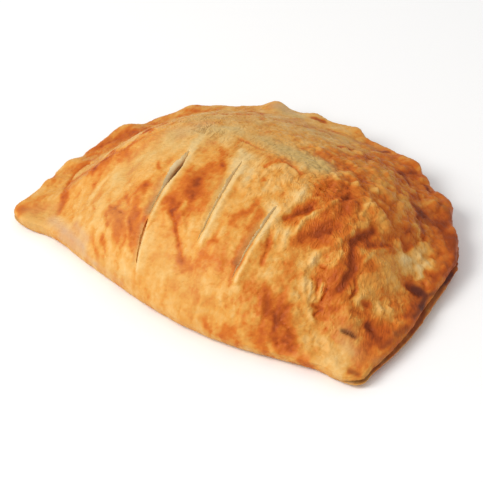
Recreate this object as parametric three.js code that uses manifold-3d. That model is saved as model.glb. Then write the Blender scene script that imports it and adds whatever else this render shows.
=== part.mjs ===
// A bridie: a half-moon turnover of puff pastry, baked, with three vent slits cut in its top.
// Millimetres, +Z up. The folded edge runs along X at the front (-Y), the crimped edge goes round
// the back. Both pieces are closed faceted solids: the hollow pastry crust, and the minced filling
// that lies inside it and shows through the slits.
import * as THREE from "three";
import Module from "manifold-3d";

const wasm = await Module();
wasm.setup();

// ---- Driving dimensions -------------------------------------------------------------------
const HALF_LENGTH = 82; // from the middle to either pinched ear
const DEPTH = 113; // from the line between the ears to the crimped back edge
const SAG = 13.2; // how far the folded edge bulges in front of that line
const CREST = 42; // height of the filled dome
const CREST_DROP = 2; // how much lower the dome's ridge is at its two ends
const RIDGE_HALF = 30; // half length of the dome's ridge
const RIDGE_Y = 44; // distance of that ridge behind the line between the ears

// ---- Outline ------------------------------------------------------------------------------
const ROUNDNESS = 2.5; // exponent of the superellipse that the crimped edge follows
const SAG_POWER = 0.66;
const SAG_REACH = 0.94;
const SAG_SKEW = 0.12; // the fold bulges most a little to the right of its middle
const EAR_RADIUS = 3; // rounding of the ears
const EAR_DIP = 3.2; // how far each ear reaches forward
const EAR_PLACE = 0.91;
const EAR_SPREAD = 0.07;
const FINE_STEP = 0.5; // step of the outline before it is divided up
const CRIMP_STEPS = 108; // divisions round the crimped edge
const FOLD_STEPS = 38; // divisions along the fold

// ---- Crimped edge and fold ----------------------------------------------------------------
const BAND = 9.5; // width of the pinched band
const BAND_EAR = 5; // how much wider it is at an ear
const BAND_EAR_REACH = 18;
const BAND_FOLD = 4; // width of the soft shoulder that goes on along the fold
const SHOULDER_REACH = 40; // length over which it narrows
const EDGE_BACK = 12; // height of the puffed edge at the back
const EDGE_EAR = 6.5;
const UNDER_BACK = 3; // how far the edge curls up off the tray at the back
const UNDER_EAR = 1.6;
const GROOVE = -2; // drop from the edge to the foot of the dome; negative, as the band rises inwards
const GROOVE_RIGHT = -3; // the same on the right, where the band has puffed up more
const RIGHT_PLACE = 60;
const RIGHT_SPREAD = 35;
const STEP_RIGHT = 1.4; // how far the lower layer of dough sticks out past the upper one on the right
const STEP_SHARE = 0.3; // share of the edge's height at which it does
const STEP_PLACE = 46;
const STEP_SPREAD = 26;
const BASE_INSET = 1.2; // the crimped edge between its lobes, behind the smooth outline
const TUCK = 5; // rounding under the fold
const FOLD_Z = 6.5; // height at which the fold stands out furthest
const FLAT_IN = 17; // the flat underside starts this far inside the outline
const EAR_BLEND = 10; // length over which the edge turns from crimp to fold
const DOME_BLEND = 60; // the same for the dome above it
const BACK_POWER = 1.2; // fullness of the slope behind the crest
const FRONT_POWER = 0.95; // fullness of the wall in front of it
const WALL_START = 0.3; // angle up the front wall at which the dome's rings begin

// Lobes of the crimp and the pressed dents between them:
// place along the edge from the right ear, how far out, how much higher, half width.
const LOBES = [
  [20, 0.8, 0, 12],
  [36, 1.2, 0, 14],
  [62, 1.5, 0, 14],
  [75, 3, 0.6, 9],
  [87, 2.2, 0.3, 7],
  [105, 2.5, 0.8, 6.5],
  [131, 1.8, 0.8, 5],
  [139, 0.6, 0.2, 4],
  [163, 2, 1, 4],
  [181, 1.2, 0.8, 4],
  [198, 2.6, 1.6, 4.5],
  [222, 1, 0.4, 5],
  [232, 2.6, 1.4, 6],
  [241, 1.2, 0.3, 6],
  [260, 3.8, 1.6, 5.5],
  [266, 2.3, 0, 4],
  [272, 1.8, 0.8, 5],
  [289, 2, 1, 4.5],
  [303, 0.8, 0.5, 3],
];
const DENTS = [
  [46, -0.4, -1, 5],
  [117, -0.9, -1.2, 4],
  [127, -0.6, -0.6, 3],
  [148, 0.8, -1, 6],
  [169, 1.8, -0.6, 4.5],
  [189, 0.9, -0.8, 3],
  [207, 1.5, -0.6, 6],
  [248, 1.8, -0.3, 6],
  [279, 1.9, -0.5, 3.5],
  [295, 1.6, -0.6, 3.5],
  [311, 0.2, -0.3, 4],
];

// The edge shows two layers of dough: share of its height, and inset from the outline.
const EDGE_SECTION = [
  [0, 1.4],
  [0.1, 0.4],
  [0.24, 0.1],
  [0.34, 1.3],
  [0.46, 0.5],
  [0.65, 0.1],
  [0.88, 0.5],
];
const EDGE_TOP_INSET = 1.6;
const UNDER_STEPS = 2;
const BAND_STEPS = 4;
const DOME_STEPS = 13;
const RIDGE_MARGIN = 0.96; // the last ring's share of the way to the ridge

// ---- Relief on the dome -------------------------------------------------------------------
// Ridges and valleys of the crust, each along a line from x1, y1 to x2, y2: height, half width.
const WRINKLES = [
  [26, 21, 27, 40, 1.1, 2.4],
  [28, 24, 33, 36, -0.9, 2.2],
  [34, 24, 37, 43, 1.3, 2.4],
  [38, 23, 42, 40, -1.6, 2.8],
  [44, 20, 48, 40, 1.4, 2.6],
  [52, 47, 51, 36, -1.5, 2.4],
  [51, 36, 56, 20, -1.5, 2.4],
  [57, 33, 58, 49, 1, 2.4],
  [58, 39, 62, 42, 1, 3.4],
  [44, 19, 46, 11, 0.9, 2.6],
  [46, 11, 55, 7, 0.9, 2.6],
  [52, 10, 55, 11, -0.7, 2.4],
  [68, 46, 75, 48, -0.9, 2.4],
  [8, 46, 27, 38, 0.9, 5],
  [-8, 60, 24, 62, -0.7, 7],
  [-13, 20, -9, 8, 0.7, 4],
  [-42, 22, -36, 6, -0.6, 3],
  [-30, 18, -26, 6, 0.5, 3],
  [14, 6, 17, -8, 0.6, 4],
  [30, 2, 44, 1, -0.5, 5],
  [62, 44, 63, 36, 1, 6],
  [57, 14, 65, 7, 0.8, 3.5],
  [64, 17, 71, 28, 0.9, 3],
  [-60, 60, -48, 84, 0.7, 4],
  [20, 84, 44, 76, 0.8, 4],
  [48, 70, 56, 62, 0.9, 4],
];
// Small blisters are spread over the sloping right-hand side of the dome.
const BLISTERS = 46;
const BLISTER_HEIGHT = 0.8;
const BLISTER_RADIUS = 2.8;
const BLISTER_CENTRE = [42, 62];
const BLISTER_SPREAD = [24, 30];
const BLISTER_SEED = 11;

// ---- Slits and filling --------------------------------------------------------------------
// Each vent slit: upper end, lower end, width, how much wider it gapes, and the height down to
// which it is cut.
const SLITS = [
  { from: [-22.2, 33.5], to: [-18.4, 4], width: 1, gape: 3.8, floor: 12 },
  { from: [-1.6, 38.5], to: [5.8, 1.5], width: 1.2, gape: 0.8, floor: 12 },
  { from: [22.6, 27.4], to: [24.8, -2.5], width: 1.1, gape: 0.7, floor: 10 },
];
const SCORE = { from: [-17.8, 2.5], to: [-14.6, -8.6], width: 1.2, gape: 0 }; // slit 1 goes on as a score
const GAPE_PLACE = 0.4; // share of the slit's length at which it gapes most
const GAPE_SPREAD = 0.24;
const SCORE_DEPTH = 1.8;
const SCORE_TOP = 29; // height of the crust at the score's two ends
const SCORE_FOOT = 18;
const SLIT_LIP = 0.9; // the lip on the right of each slit curls up by this much
const LIP_OFFSET = 2;
const LIP_WIDTH = 1.6;
const SLIT_DIVISIONS = 10;
const WALL = 4.2; // thickness of the crust over the filling
const FLOOR = 3.5; // thickness of the bottom layer
const RIM_CRIMP = 4; // how far the filling stays inside the pinched band
const RIM_FOLD = 5;
const GAP = 0.3; // clearance between crust and filling
const RIM_GAP = 3; // times that clearance, where the filling thins out towards the crimp
const FILLING_STEPS = 9;
const FILLING_DIVISIONS = [44, 20];

const FINENESS = 1e-4;

const crustMaterial = new THREE.MeshStandardMaterial({ color: 0xd69a55, roughness: 0.55, metalness: 0 });
const fillingMaterial = new THREE.MeshStandardMaterial({ color: 0x5a3a28, roughness: 0.7, metalness: 0 });

const lerp = THREE.MathUtils.lerp;
const smooth = (value) => THREE.MathUtils.smoothstep(value, 0, 1);
const bell = (distance, width) => Math.exp(-((distance / width) ** 2));

// ---- Outline ------------------------------------------------------------------------------
function fineOutline() {
  const points = [];
  for (let angle = 0; angle <= Math.PI; angle += Math.PI / 1500) {
    const across = Math.cos(angle);
    const x = HALF_LENGTH * Math.sign(across) * Math.abs(across) ** (2 / ROUNDNESS);
    points.push(new THREE.Vector2(x, DEPTH * Math.sin(angle) ** (2 / ROUNDNESS)));
  }
  const crimpEnd = points.length;
  for (let share = -0.998; share < 0.999; share += 0.002) {
    const reach = THREE.MathUtils.clamp((share - SAG_SKEW * (1 - share ** 2)) / SAG_REACH, -1, 1);
    const bulge = SAG * (0.5 + 0.5 * Math.cos(Math.PI * reach)) ** SAG_POWER;
    const ear = EAR_DIP * bell(Math.abs(share) - EAR_PLACE, EAR_SPREAD);
    points.push(new THREE.Vector2(HALF_LENGTH * share, -bulge - ear));
  }
  return { points, crimpEnd };
}

// Running length at each point of a closed line, with the whole length at its end.
function runningLength(points) {
  const lengths = [0];
  points.forEach((point, i) => {
    lengths.push(lengths[i] + point.distanceTo(points[(i + 1) % points.length]));
  });
  return lengths;
}

// The points of a closed line at the given lengths along it, in rising order.
function pointsAt(points, lengths, places) {
  let i = 0;
  return places.map((place) => {
    while (lengths[i + 1] < place) i += 1;
    const share = (place - lengths[i]) / Math.max(lengths[i + 1] - lengths[i], 1e-9);
    return points[i].clone().lerp(points[(i + 1) % points.length], Math.min(share, 1));
  });
}

// A closed, evenly divided line, rounded by a bell-shaped average along it.
function rounded(points, step, radius) {
  const reach = Math.ceil((4 * radius) / step);
  const count = points.length;
  return points.map((_, i) => {
    const sum = new THREE.Vector2();
    let total = 0;
    for (let offset = -reach; offset <= reach; offset += 1) {
      const weight = bell(offset * step, radius * Math.SQRT2);
      sum.addScaledVector(points[(i + offset + count) % count], weight);
      total += weight;
    }
    return sum.divideScalar(total);
  });
}

// Spokes run from the outline in to the dome's ridge; all rings are laid out along them.
function makeSpokes(crimpSteps, foldSteps) {
  const fine = fineOutline();
  const fineLengths = runningLength(fine.points);
  const perimeter = fineLengths.at(-1);
  const crimp = fineLengths[fine.crimpEnd - 1];
  const fineCount = Math.round(perimeter / FINE_STEP);
  const step = perimeter / fineCount;
  const even = pointsAt(fine.points, fineLengths, Array.from({ length: fineCount }, (_, i) => i * step));
  const line = rounded(even, step, EAR_RADIUS);
  const lengths = runningLength(line);
  const scale = lengths.at(-1) / perimeter;
  const places = [];
  for (let i = 0; i < crimpSteps; i += 1) places.push((crimp * i) / crimpSteps);
  for (let i = 0; i < foldSteps; i += 1) places.push(crimp + ((perimeter - crimp) * i) / foldSteps);
  const base = pointsAt(line, lengths, places.map((place) => place * scale));
  return base.map((point, i) => {
    const next = base[(i + 1) % base.length];
    const last = base[(i + base.length - 1) % base.length];
    const along = next.clone().sub(last).normalize();
    const place = places[i];
    const onCrimp = place <= crimp;
    const toEar = Math.min(place, Math.abs(place - crimp), perimeter - place);
    const intoFold = onCrimp ? 0 : toEar;
    const groove = lerp(GROOVE, GROOVE_RIGHT, bell(place - RIGHT_PLACE, RIGHT_SPREAD));
    let out = onCrimp ? -BASE_INSET * smooth(toEar / 8) : 0;
    let lift = 0;
    for (const [middle, outward, upward, width] of [...LOBES, ...DENTS]) {
      out += outward * bell(place - middle, width);
      lift += upward * bell(place - middle, width);
    }
    const ridge = new THREE.Vector2(RIDGE_HALF * THREE.MathUtils.clamp(point.x / HALF_LENGTH, -1, 1), RIDGE_Y);
    const inward = ridge.clone().sub(point);
    const back = THREE.MathUtils.clamp(point.y / DEPTH, 0, 1) ** 0.8;
    const edge = lerp(EDGE_EAR, EDGE_BACK, back);
    return {
      point,
      outward: new THREE.Vector2(along.y, -along.x),
      out,
      inward: inward.clone().normalize(),
      reach: inward.length(),
      intoFold,
      band: lerp(BAND, BAND_FOLD, smooth(intoFold / SHOULDER_REACH)) + BAND_EAR * bell(toEar, BAND_EAR_REACH),
      edge: edge + lift,
      under: lerp(UNDER_EAR, UNDER_BACK, back),
      step: STEP_RIGHT * bell(place - STEP_PLACE, STEP_SPREAD),
      pressed: edge - groove * (1 - smooth(intoFold / EAR_BLEND)),
      crest: CREST - CREST_DROP * (ridge.x / RIDGE_HALF) ** 2,
    };
  });
}

// ---- Rings --------------------------------------------------------------------------------
// A point on a spoke: the crimp's inset and height turn into the fold's over the given length.
function onSpoke(spoke, crimp, fold, blend) {
  const share = smooth((spoke.intoFold - 2) / blend);
  const inset = lerp(crimp.inset, fold.inset, share);
  const fade = spoke.out * (1 - smooth(inset / BAND));
  const place = spoke.point.clone().addScaledVector(spoke.inward, inset).addScaledVector(spoke.outward, fade);
  return new THREE.Vector3(place.x, place.y, lerp(crimp.height, fold.height, share));
}

function frontWall(spoke, angle, rim, foot, crest) {
  return {
    inset: rim + (spoke.reach - rim) * (1 - Math.cos(angle)),
    height: foot + (crest - foot) * Math.sin(angle) ** FRONT_POWER,
  };
}

function backSlope(spoke, share, rim, foot, crest) {
  return {
    inset: rim + (spoke.reach - rim) * share,
    height: foot + (crest - foot) * (1 - (1 - share) ** 2) ** BACK_POWER,
  };
}

function crustRings(spokes) {
  const rings = [];
  for (let i = 0; i < UNDER_STEPS; i += 1) {
    const share = i / UNDER_STEPS;
    rings.push(
      spokes.map((spoke) => {
        const crimp = { inset: lerp(FLAT_IN, EDGE_SECTION[0][1], share), height: spoke.under * share ** 2 };
        return onSpoke(spoke, crimp, { inset: lerp(FLAT_IN, TUCK, share), height: 0 }, EAR_BLEND);
      }),
    );
  }
  for (const [share, inset] of EDGE_SECTION) {
    const angle = (share * Math.PI) / 2;
    const fold = { inset: TUCK * (1 - Math.sin(angle)), height: FOLD_Z * (1 - Math.cos(angle)) };
    rings.push(
      spokes.map((spoke) => {
        const stepped = share > STEP_SHARE ? inset + spoke.step : inset;
        const crimp = { inset: stepped, height: lerp(spoke.under, spoke.edge, share) };
        return onSpoke(spoke, crimp, fold, EAR_BLEND);
      }),
    );
  }
  for (let i = 0; i < BAND_STEPS; i += 1) {
    const share = i / BAND_STEPS;
    rings.push(
      spokes.map((spoke) => {
        const crimp = {
          inset: lerp(EDGE_TOP_INSET + spoke.step, spoke.band, share),
          height: lerp(spoke.edge, spoke.pressed, smooth(share)),
        };
        const fold = frontWall(spoke, WALL_START * share, 0, FOLD_Z, spoke.crest);
        return onSpoke(spoke, crimp, fold, DOME_BLEND);
      }),
    );
  }
  for (let i = 0; i < DOME_STEPS; i += 1) {
    const share = (RIDGE_MARGIN * i) / (DOME_STEPS - 1);
    rings.push(
      spokes.map((spoke) => {
        const crimp = backSlope(spoke, share, spoke.band, spoke.pressed, spoke.crest);
        const fold = frontWall(spoke, lerp(WALL_START, Math.PI / 2, share), 0, FOLD_Z, spoke.crest);
        return onSpoke(spoke, crimp, fold, DOME_BLEND);
      }),
    );
  }
  return rings;
}

// Rings of the hollow, and of the filling when it is made smaller by the gap.
function hollowRings(spokes, gap) {
  const rings = [];
  const foot = FLOOR + gap;
  for (let i = 0; i < FILLING_STEPS; i += 1) {
    const share = (RIDGE_MARGIN * i) / (FILLING_STEPS - 1);
    rings.push(
      spokes.map((spoke) => {
        const crest = spoke.crest - WALL - gap;
        const crimp = backSlope(spoke, share, spoke.band + RIM_CRIMP + RIM_GAP * gap, foot, crest);
        const fold = frontWall(spoke, (share * Math.PI) / 2, RIM_FOLD + gap, foot, crest);
        return onSpoke(spoke, crimp, fold, DOME_BLEND);
      }),
    );
  }
  return rings;
}

// ---- Relief -------------------------------------------------------------------------------
function distanceToLine(x, y, x1, y1, x2, y2) {
  const dx = x2 - x1;
  const dy = y2 - y1;
  const share = THREE.MathUtils.clamp(((x - x1) * dx + (y - y1) * dy) / (dx * dx + dy * dy), 0, 1);
  return Math.hypot(x - x1 - share * dx, y - y1 - share * dy);
}

function blisterPlaces() {
  let state = BLISTER_SEED;
  const random = () => {
    state = (state * 16807) % 2147483647;
    return state / 2147483647;
  };
  return Array.from({ length: BLISTERS }, () => [
    BLISTER_CENTRE[0] + BLISTER_SPREAD[0] * (random() + random() - 1),
    BLISTER_CENTRE[1] + BLISTER_SPREAD[1] * (random() + random() - 1),
  ]);
}

const blisters = blisterPlaces();

function relief(x, y) {
  let height = 0;
  for (const [x1, y1, x2, y2, rise, width] of WRINKLES) {
    height += rise * bell(distanceToLine(x, y, x1, y1, x2, y2), width);
  }
  for (const slit of [...SLITS, SCORE]) {
    const [x1, y1] = slit.from;
    const [x2, y2] = slit.to;
    height += SLIT_LIP * bell(distanceToLine(x, y, x1 + LIP_OFFSET, y1, x2 + LIP_OFFSET, y2), LIP_WIDTH);
  }
  for (const [middleX, middleY] of blisters) {
    height += BLISTER_HEIGHT * bell(Math.hypot(x - middleX, y - middleY), BLISTER_RADIUS);
  }
  return height;
}

// Moves the points of the rings from the given one upwards out along the surface's normal.
function addRelief(rings, first) {
  const count = rings[0].length;
  return rings.map((ring, i) => {
    if (i < first) return ring;
    const below = rings[i - 1];
    const above = rings[Math.min(i + 1, rings.length - 1)];
    return ring.map((point, k) => {
      const around = ring[(k + 1) % count].clone().sub(ring[(k + count - 1) % count]);
      const normal = around.cross(above[k].clone().sub(below[k])).normalize();
      return point.clone().addScaledVector(normal, relief(point.x, point.y));
    });
  });
}

// ---- Solids -------------------------------------------------------------------------------
// Closes a ring with a strip of triangles across it, from the right ear to the left one.
function strip(ring, turn) {
  const count = ring.length;
  const triangles = [];
  let back = 0;
  let front = 0;
  while (back + front < count - 2) {
    const nextBack = back + 1;
    const nextFront = front + 1;
    const frontIndex = (count - front) % count;
    if (ring[nextBack].x > ring[count - nextFront].x) {
      triangles.push([back, nextBack, frontIndex]);
      back = nextBack;
    } else {
      triangles.push([back, count - nextFront, frontIndex]);
      front = nextFront;
    }
  }
  triangles.push([back, back + 1, count - front]);
  return triangles.map(([a, b, c]) => [turn + a, turn + b, turn + (c % count)]);
}

// A closed solid from rings that run from the flat underside up to the ridge.
function ringSolid(rings) {
  const count = rings[0].length;
  const vertices = rings.flat().flatMap((point) => point.toArray());
  const triangles = [];
  for (let i = 0; i + 1 < rings.length; i += 1) {
    for (let k = 0; k < count; k += 1) {
      const a = i * count + k;
      const b = i * count + ((k + 1) % count);
      triangles.push(a, b, b + count, a, b + count, a + count);
    }
  }
  for (const [a, b, c] of strip(rings.at(-1), (rings.length - 1) * count)) triangles.push(a, b, c);
  for (const [a, b, c] of strip(rings[0], 0)) triangles.push(a, c, b);
  const mesh = new wasm.Mesh({
    numProp: 3,
    vertProperties: new Float32Array(vertices),
    triVerts: new Uint32Array(triangles),
  });
  return new wasm.Manifold(mesh);
}

function geometrySolid(geometry) {
  const position = geometry.getAttribute("position");
  const seen = new Map();
  const vertices = [];
  const triangles = [];
  for (let i = 0; i < position.count; i += 1) {
    const point = [position.getX(i), position.getY(i), position.getZ(i)];
    const key = point.map((value) => Math.round(value / FINENESS)).join(",");
    if (!seen.has(key)) {
      seen.set(key, seen.size);
      vertices.push(...point);
    }
    triangles.push(seen.get(key));
  }
  const mesh = new wasm.Mesh({
    numProp: 3,
    vertProperties: new Float32Array(vertices),
    triVerts: new Uint32Array(triangles),
  });
  return new wasm.Manifold(mesh);
}

// A blade with pointed ends that stands on the slit's line, from the given height up.
function slitBlade(slit, bottom, top) {
  const from = new THREE.Vector2(...slit.from);
  const to = new THREE.Vector2(...slit.to);
  const across = to.clone().sub(from).normalize().rotateAround(new THREE.Vector2(), Math.PI / 2);
  const side = (sign) =>
    Array.from({ length: SLIT_DIVISIONS }, (_, i) => {
      const share = i / SLIT_DIVISIONS;
      const gape = slit.gape * bell(share - GAPE_PLACE, GAPE_SPREAD);
      const half = (slit.width * Math.sin(Math.PI * share) ** 0.6 + gape * Math.sin(Math.PI * share)) / 2;
      return from.clone().lerp(to, sign > 0 ? share : 1 - share).addScaledVector(across, sign * half);
    });
  const shape = new THREE.Shape([...side(1), ...side(-1)]);
  const geometry = new THREE.ExtrudeGeometry(shape, { depth: top - bottom, bevelEnabled: false });
  geometry.translate(0, 0, bottom);
  return geometrySolid(geometry);
}

// The score is a blade as well, cut off below along a line that follows the falling crust.
function scoreBlade() {
  const length = Math.hypot(SCORE.to[0] - SCORE.from[0], SCORE.to[1] - SCORE.from[1]);
  const side = new THREE.Shape([
    new THREE.Vector2(-1, SCORE_TOP - SCORE_DEPTH),
    new THREE.Vector2(length + 1, SCORE_FOOT - SCORE_DEPTH),
    new THREE.Vector2(length + 1, CREST),
    new THREE.Vector2(-1, CREST),
  ]);
  const slab = new THREE.ExtrudeGeometry(side, { depth: 8, bevelEnabled: false });
  slab.translate(0, 0, -4);
  slab.rotateX(Math.PI / 2);
  slab.rotateZ(Math.atan2(SCORE.to[1] - SCORE.from[1], SCORE.to[0] - SCORE.from[0]));
  slab.translate(SCORE.from[0], SCORE.from[1], 0);
  return slitBlade(SCORE, FLOOR, CREST).intersect(geometrySolid(slab));
}

function meshOf(name, solid, material) {
  const { vertProperties, triVerts } = solid.getMesh();
  const geometry = new THREE.BufferGeometry();
  geometry.setAttribute("position", new THREE.BufferAttribute(new Float32Array(vertProperties), 3));
  geometry.setIndex(new THREE.BufferAttribute(new Uint32Array(triVerts), 1));
  geometry.computeVertexNormals();
  const mesh = new THREE.Mesh(geometry, material);
  mesh.name = name;
  return mesh;
}

function crust() {
  const firstTopRing = UNDER_STEPS + EDGE_SECTION.length + 1;
  const outer = ringSolid(addRelief(crustRings(makeSpokes(CRIMP_STEPS, FOLD_STEPS)), firstTopRing));
  let solid = outer.subtract(ringSolid(hollowRings(makeSpokes(...FILLING_DIVISIONS), 0)));
  for (const slit of SLITS) solid = solid.subtract(slitBlade(slit, slit.floor, CREST + 10));
  solid = solid.subtract(scoreBlade());
  return meshOf("crust", solid, crustMaterial);
}

function filling() {
  return meshOf("filling", ringSolid(hollowRings(makeSpokes(...FILLING_DIVISIONS), GAP)), fillingMaterial);
}

// The origin is in the middle of the underside's box.
const bridie = new THREE.Group();
bridie.add(crust(), filling());
const box = new THREE.Box3().setFromObject(bridie);
const middle = box.getCenter(new THREE.Vector3());
bridie.position.set(-middle.x, -middle.y, -box.min.z);

export default bridie;
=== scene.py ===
"""A baked bridie on a pale floor: puff pastry crust with slits over a minced filling."""

import math

import bpy
import numpy as np
from mathutils import Matrix, Vector, noise
from mathutils.bvhtree import BVHTree
from mathutils.kdtree import KDTree


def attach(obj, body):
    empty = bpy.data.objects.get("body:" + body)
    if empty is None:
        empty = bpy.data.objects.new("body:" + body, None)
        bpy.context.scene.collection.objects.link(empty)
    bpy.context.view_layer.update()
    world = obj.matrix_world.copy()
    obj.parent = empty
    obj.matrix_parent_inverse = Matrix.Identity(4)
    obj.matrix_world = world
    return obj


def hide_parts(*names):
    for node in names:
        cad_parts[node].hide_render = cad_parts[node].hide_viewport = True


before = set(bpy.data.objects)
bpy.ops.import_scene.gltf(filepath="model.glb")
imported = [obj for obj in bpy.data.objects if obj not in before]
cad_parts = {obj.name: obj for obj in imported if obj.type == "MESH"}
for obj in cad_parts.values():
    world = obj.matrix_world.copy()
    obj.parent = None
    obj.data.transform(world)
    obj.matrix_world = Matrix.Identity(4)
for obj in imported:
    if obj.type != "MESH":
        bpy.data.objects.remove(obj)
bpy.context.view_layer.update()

MM = 0.001
TINY = 1e-9

# ---- Form of the turnover, millimetres, ears on the line y = 0 ----
HALF_LENGTH = 82.0
DEPTH = 113.0
SAG = 13.2
CREST = 42.0
CREST_DROP = 2.0
RIDGE_HALF = 30.0
RIDGE_Y = 44.0
ROUNDNESS = 2.5
SAG_POWER = 0.66
SAG_REACH = 0.94
SAG_SKEW = 0.12
EAR_RADIUS = 3.0
ROUNDING_REACH = 4
EAR_DIP = 3.2
EAR_PLACE = 0.91
EAR_SPREAD = 0.07
BAND = 9.5
BAND_EAR = 5.0
BAND_EAR_REACH = 18.0
BAND_FOLD = 4.0
SHOULDER_REACH = 40.0
EDGE_BACK = 12.0
EDGE_EAR = 6.5
EDGE_POWER = 0.8
UNDER_BACK = 3.0
UNDER_EAR = 1.6
GROOVE = -2.0
GROOVE_RIGHT = -3.0
RIGHT_PLACE = 60.0
RIGHT_SPREAD = 35.0
STEP_RIGHT = 1.4
STEP_SHARE = 0.3
STEP_RISE = 0.1
STEP_PLACE = 46.0
STEP_SPREAD = 26.0
BASE_INSET = 1.2
INSET_REACH = 8.0
TUCK = 5.0
FOLD_Z = 6.5
FOLD_START = 2.0
FLAT_IN = 17.0
EAR_BLEND = 10.0
DOME_BLEND = 60.0
BACK_POWER = 1.2
FRONT_POWER = 0.95
WALL_START = 0.3
EDGE_TOP_INSET = 1.6
RIDGE_MARGIN = 0.985

# Lobes and dents of the crimp: place along the edge, outward, upward, half width.
LOBES = [
    (20, 0.8, 0, 12),
    (36, 1.2, 0, 14),
    (62, 1.5, 0, 14),
    (75, 3, 0.6, 9),
    (87, 2.2, 0.3, 7),
    (105, 2.5, 0.8, 6.5),
    (131, 1.8, 0.8, 5),
    (139, 0.6, 0.2, 4),
    (163, 2, 1, 4),
    (181, 1.2, 0.8, 4),
    (198, 2.6, 1.6, 4.5),
    (222, 1, 0.4, 5),
    (232, 2.6, 1.4, 6),
    (241, 1.2, 0.3, 6),
    (260, 3.8, 1.6, 5.5),
    (266, 2.3, 0, 4),
    (272, 1.8, 0.8, 5),
    (289, 2, 1, 4.5),
    (303, 0.8, 0.5, 3),
    (46, -0.4, -1, 5),
    (117, -0.9, -1.2, 4),
    (127, -0.6, -0.6, 3),
    (148, 0.8, -1, 6),
    (169, 1.8, -0.6, 4.5),
    (189, 0.9, -0.8, 3),
    (207, 1.5, -0.6, 6),
    (248, 1.8, -0.3, 6),
    (279, 1.9, -0.5, 3.5),
    (295, 1.6, -0.6, 3.5),
    (311, 0.2, -0.3, 4),
]

# Two layers of dough at the edge: share of its height, inset.
EDGE_SECTION = [
    (0.00, 1.4),
    (0.10, 0.4),
    (0.24, 0.1),
    (0.34, 1.3),
    (0.46, 0.5),
    (0.65, 0.1),
    (0.88, 0.5),
    (1.00, EDGE_TOP_INSET),
]

# Ridges and valleys: x1, y1, x2, y2, height, half width.
WRINKLES = [
    (8, 46, 27, 38, 0.9, 5),
    (-8, 60, 24, 62, -0.7, 7),
    (-13, 20, -9, 8, 0.7, 4),
    (-42, 22, -36, 6, -0.6, 3),
    (-30, 18, -26, 6, 0.5, 3),
    (14, 6, 17, -8, 0.6, 4),
    (30, 2, 44, 1, -0.5, 5),
    (62, 44, 63, 36, 1, 6),
    (57, 14, 65, 7, 0.8, 3.5),
    (64, 17, 71, 28, 0.9, 3),
    (-60, 60, -48, 84, 0.7, 4),
    (20, 84, 44, 76, 0.8, 4),
    (48, 70, 56, 62, 0.9, 4),
]

# Vent slits: upper end, lower end, height down to which they are cut, and their widths: place
# of the gape as a share of the length, narrow width, what the gape adds to it, its spread.
SLITS = [
    ((-22.2, 33.5), (-18.4, 4.0), 12.0, (0.34, 1.0, 4.6, 0.24)),
    ((-1.6, 38.5), (5.8, 1.5), 12.0, (0.3, 1.2, 0.8, 0.25)),
    ((22.6, 27.4), (24.8, -2.5), 10.0, (0.2, 1.1, 0.7, 0.3)),
]
# The shallow cut below the first slit; near its line the cut faces are baked as the crust is.
SCORE = ((-17.8, 2.5), (-14.6, -8.6))
SCORE_WIDTHS = (0.5, 1.5, 0.0, 0.3)
SCORE_DEPTH = 1.0
SCORE_BAKED = ((-17.6, 1.0), (-14.6, -9.0))
SCORE_MARGIN = 1.6
# Pale lips on the right of the cuts.
LIPS = [
    ((-20.6, 36), (-16.6, 4)),
    ((1.0, 36), (7.4, 2)),
    ((24.4, 26.4), (26.4, -2.5)),
    ((-16.6, 1), (-13.4, -9)),
]
LIP_OFFSET = 2.0
SLIT_LIP = 0.9
LIP_WIDTH = 1.6
# A slit's shape: how blunt its ends are, its left side's share of the width, how much of the
# narrow width and of the gape is left deep down (left, right), and where its walls slope.
SLIT_END = 0.002
SLIT_POWER = 0.6
LEFT_SHARE = 0.6
DEEP_NARROW = 0.1
DEEP_GAPE = (0.2, 0.4)
SLOPE_START = 0.6
SLOPE_DEPTH = 2.6
# Wavy walls of the cuts: height and size of the waves, and how much lower than long they are.
WALL_WAVE = 0.28
WALL_WAVE_SIZE = 1.5
WALL_WAVE_SQUASH = np.array([1.0, 1.0, 1.6])
SLIT_SEED = 20
SCORE_SEED = 30

WALL = 4.2
FLOOR = 3.5
RIM_CRIMP = 4.0
RIM_FOLD = 5.0
RIM_GAPS = 3.0
GAP = 0.3

# ---- Detail of the meshes ----
OUTLINE_STEPS = 3000
FOLD_STEP = 0.002
FINE_STEP = 0.25
SPOKES = 720
UNDER_RINGS = 4
EDGE_RINGS = 20
LOWER_RINGS = 5
BAND_RINGS = 14
DOME_RINGS = 120
FIRST_TOP = UNDER_RINGS + EDGE_RINGS
FIRST_DOME = FIRST_TOP + BAND_RINGS
HOLLOW_SPOKES = 120
HOLLOW_RINGS = 24
FILLING_SPOKES = 240
BLADE_STEPS = 41
BLADE_LEVELS = 40
BLADE_RISE = 5.0
CREASE_RINGS = 15
CREASE_PASSES = 120
# Over how many rings the relief sets in, and the share of it that the edge has.
TOP_FADE = 5.0
EDGE_FADE = 4.0
EDGE_RELIEF = 0.5
SHARP_ANGLE = 55.0
# How near the outside a face counts as baked skin, and how deep it does in the score.
SKIN_DEPTH = 0.02
SCORE_REACH = 2.0

# Where the form's millimetres lie in the CAD frame.
FORM_SHIFT = np.array([0.111, -50.433, 0.0])

# ---- Relief ----
OCTAVES = 3
SEED_SHIFT = 17.3

# Large blisters, placed by a plain multiply-and-remainder sequence, as in the CAD source.
BLISTERS = 46
BLISTER_HEIGHT = 0.8
BLISTER_RADIUS = 2.8
BLISTER_CENTRE = (42.0, 62.0)
BLISTER_SPREAD = (24.0, 30.0)
BLISTER_SEED = 11
BLISTER_FACTOR = 16807
BLISTER_MODULUS = 2147483647

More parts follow.
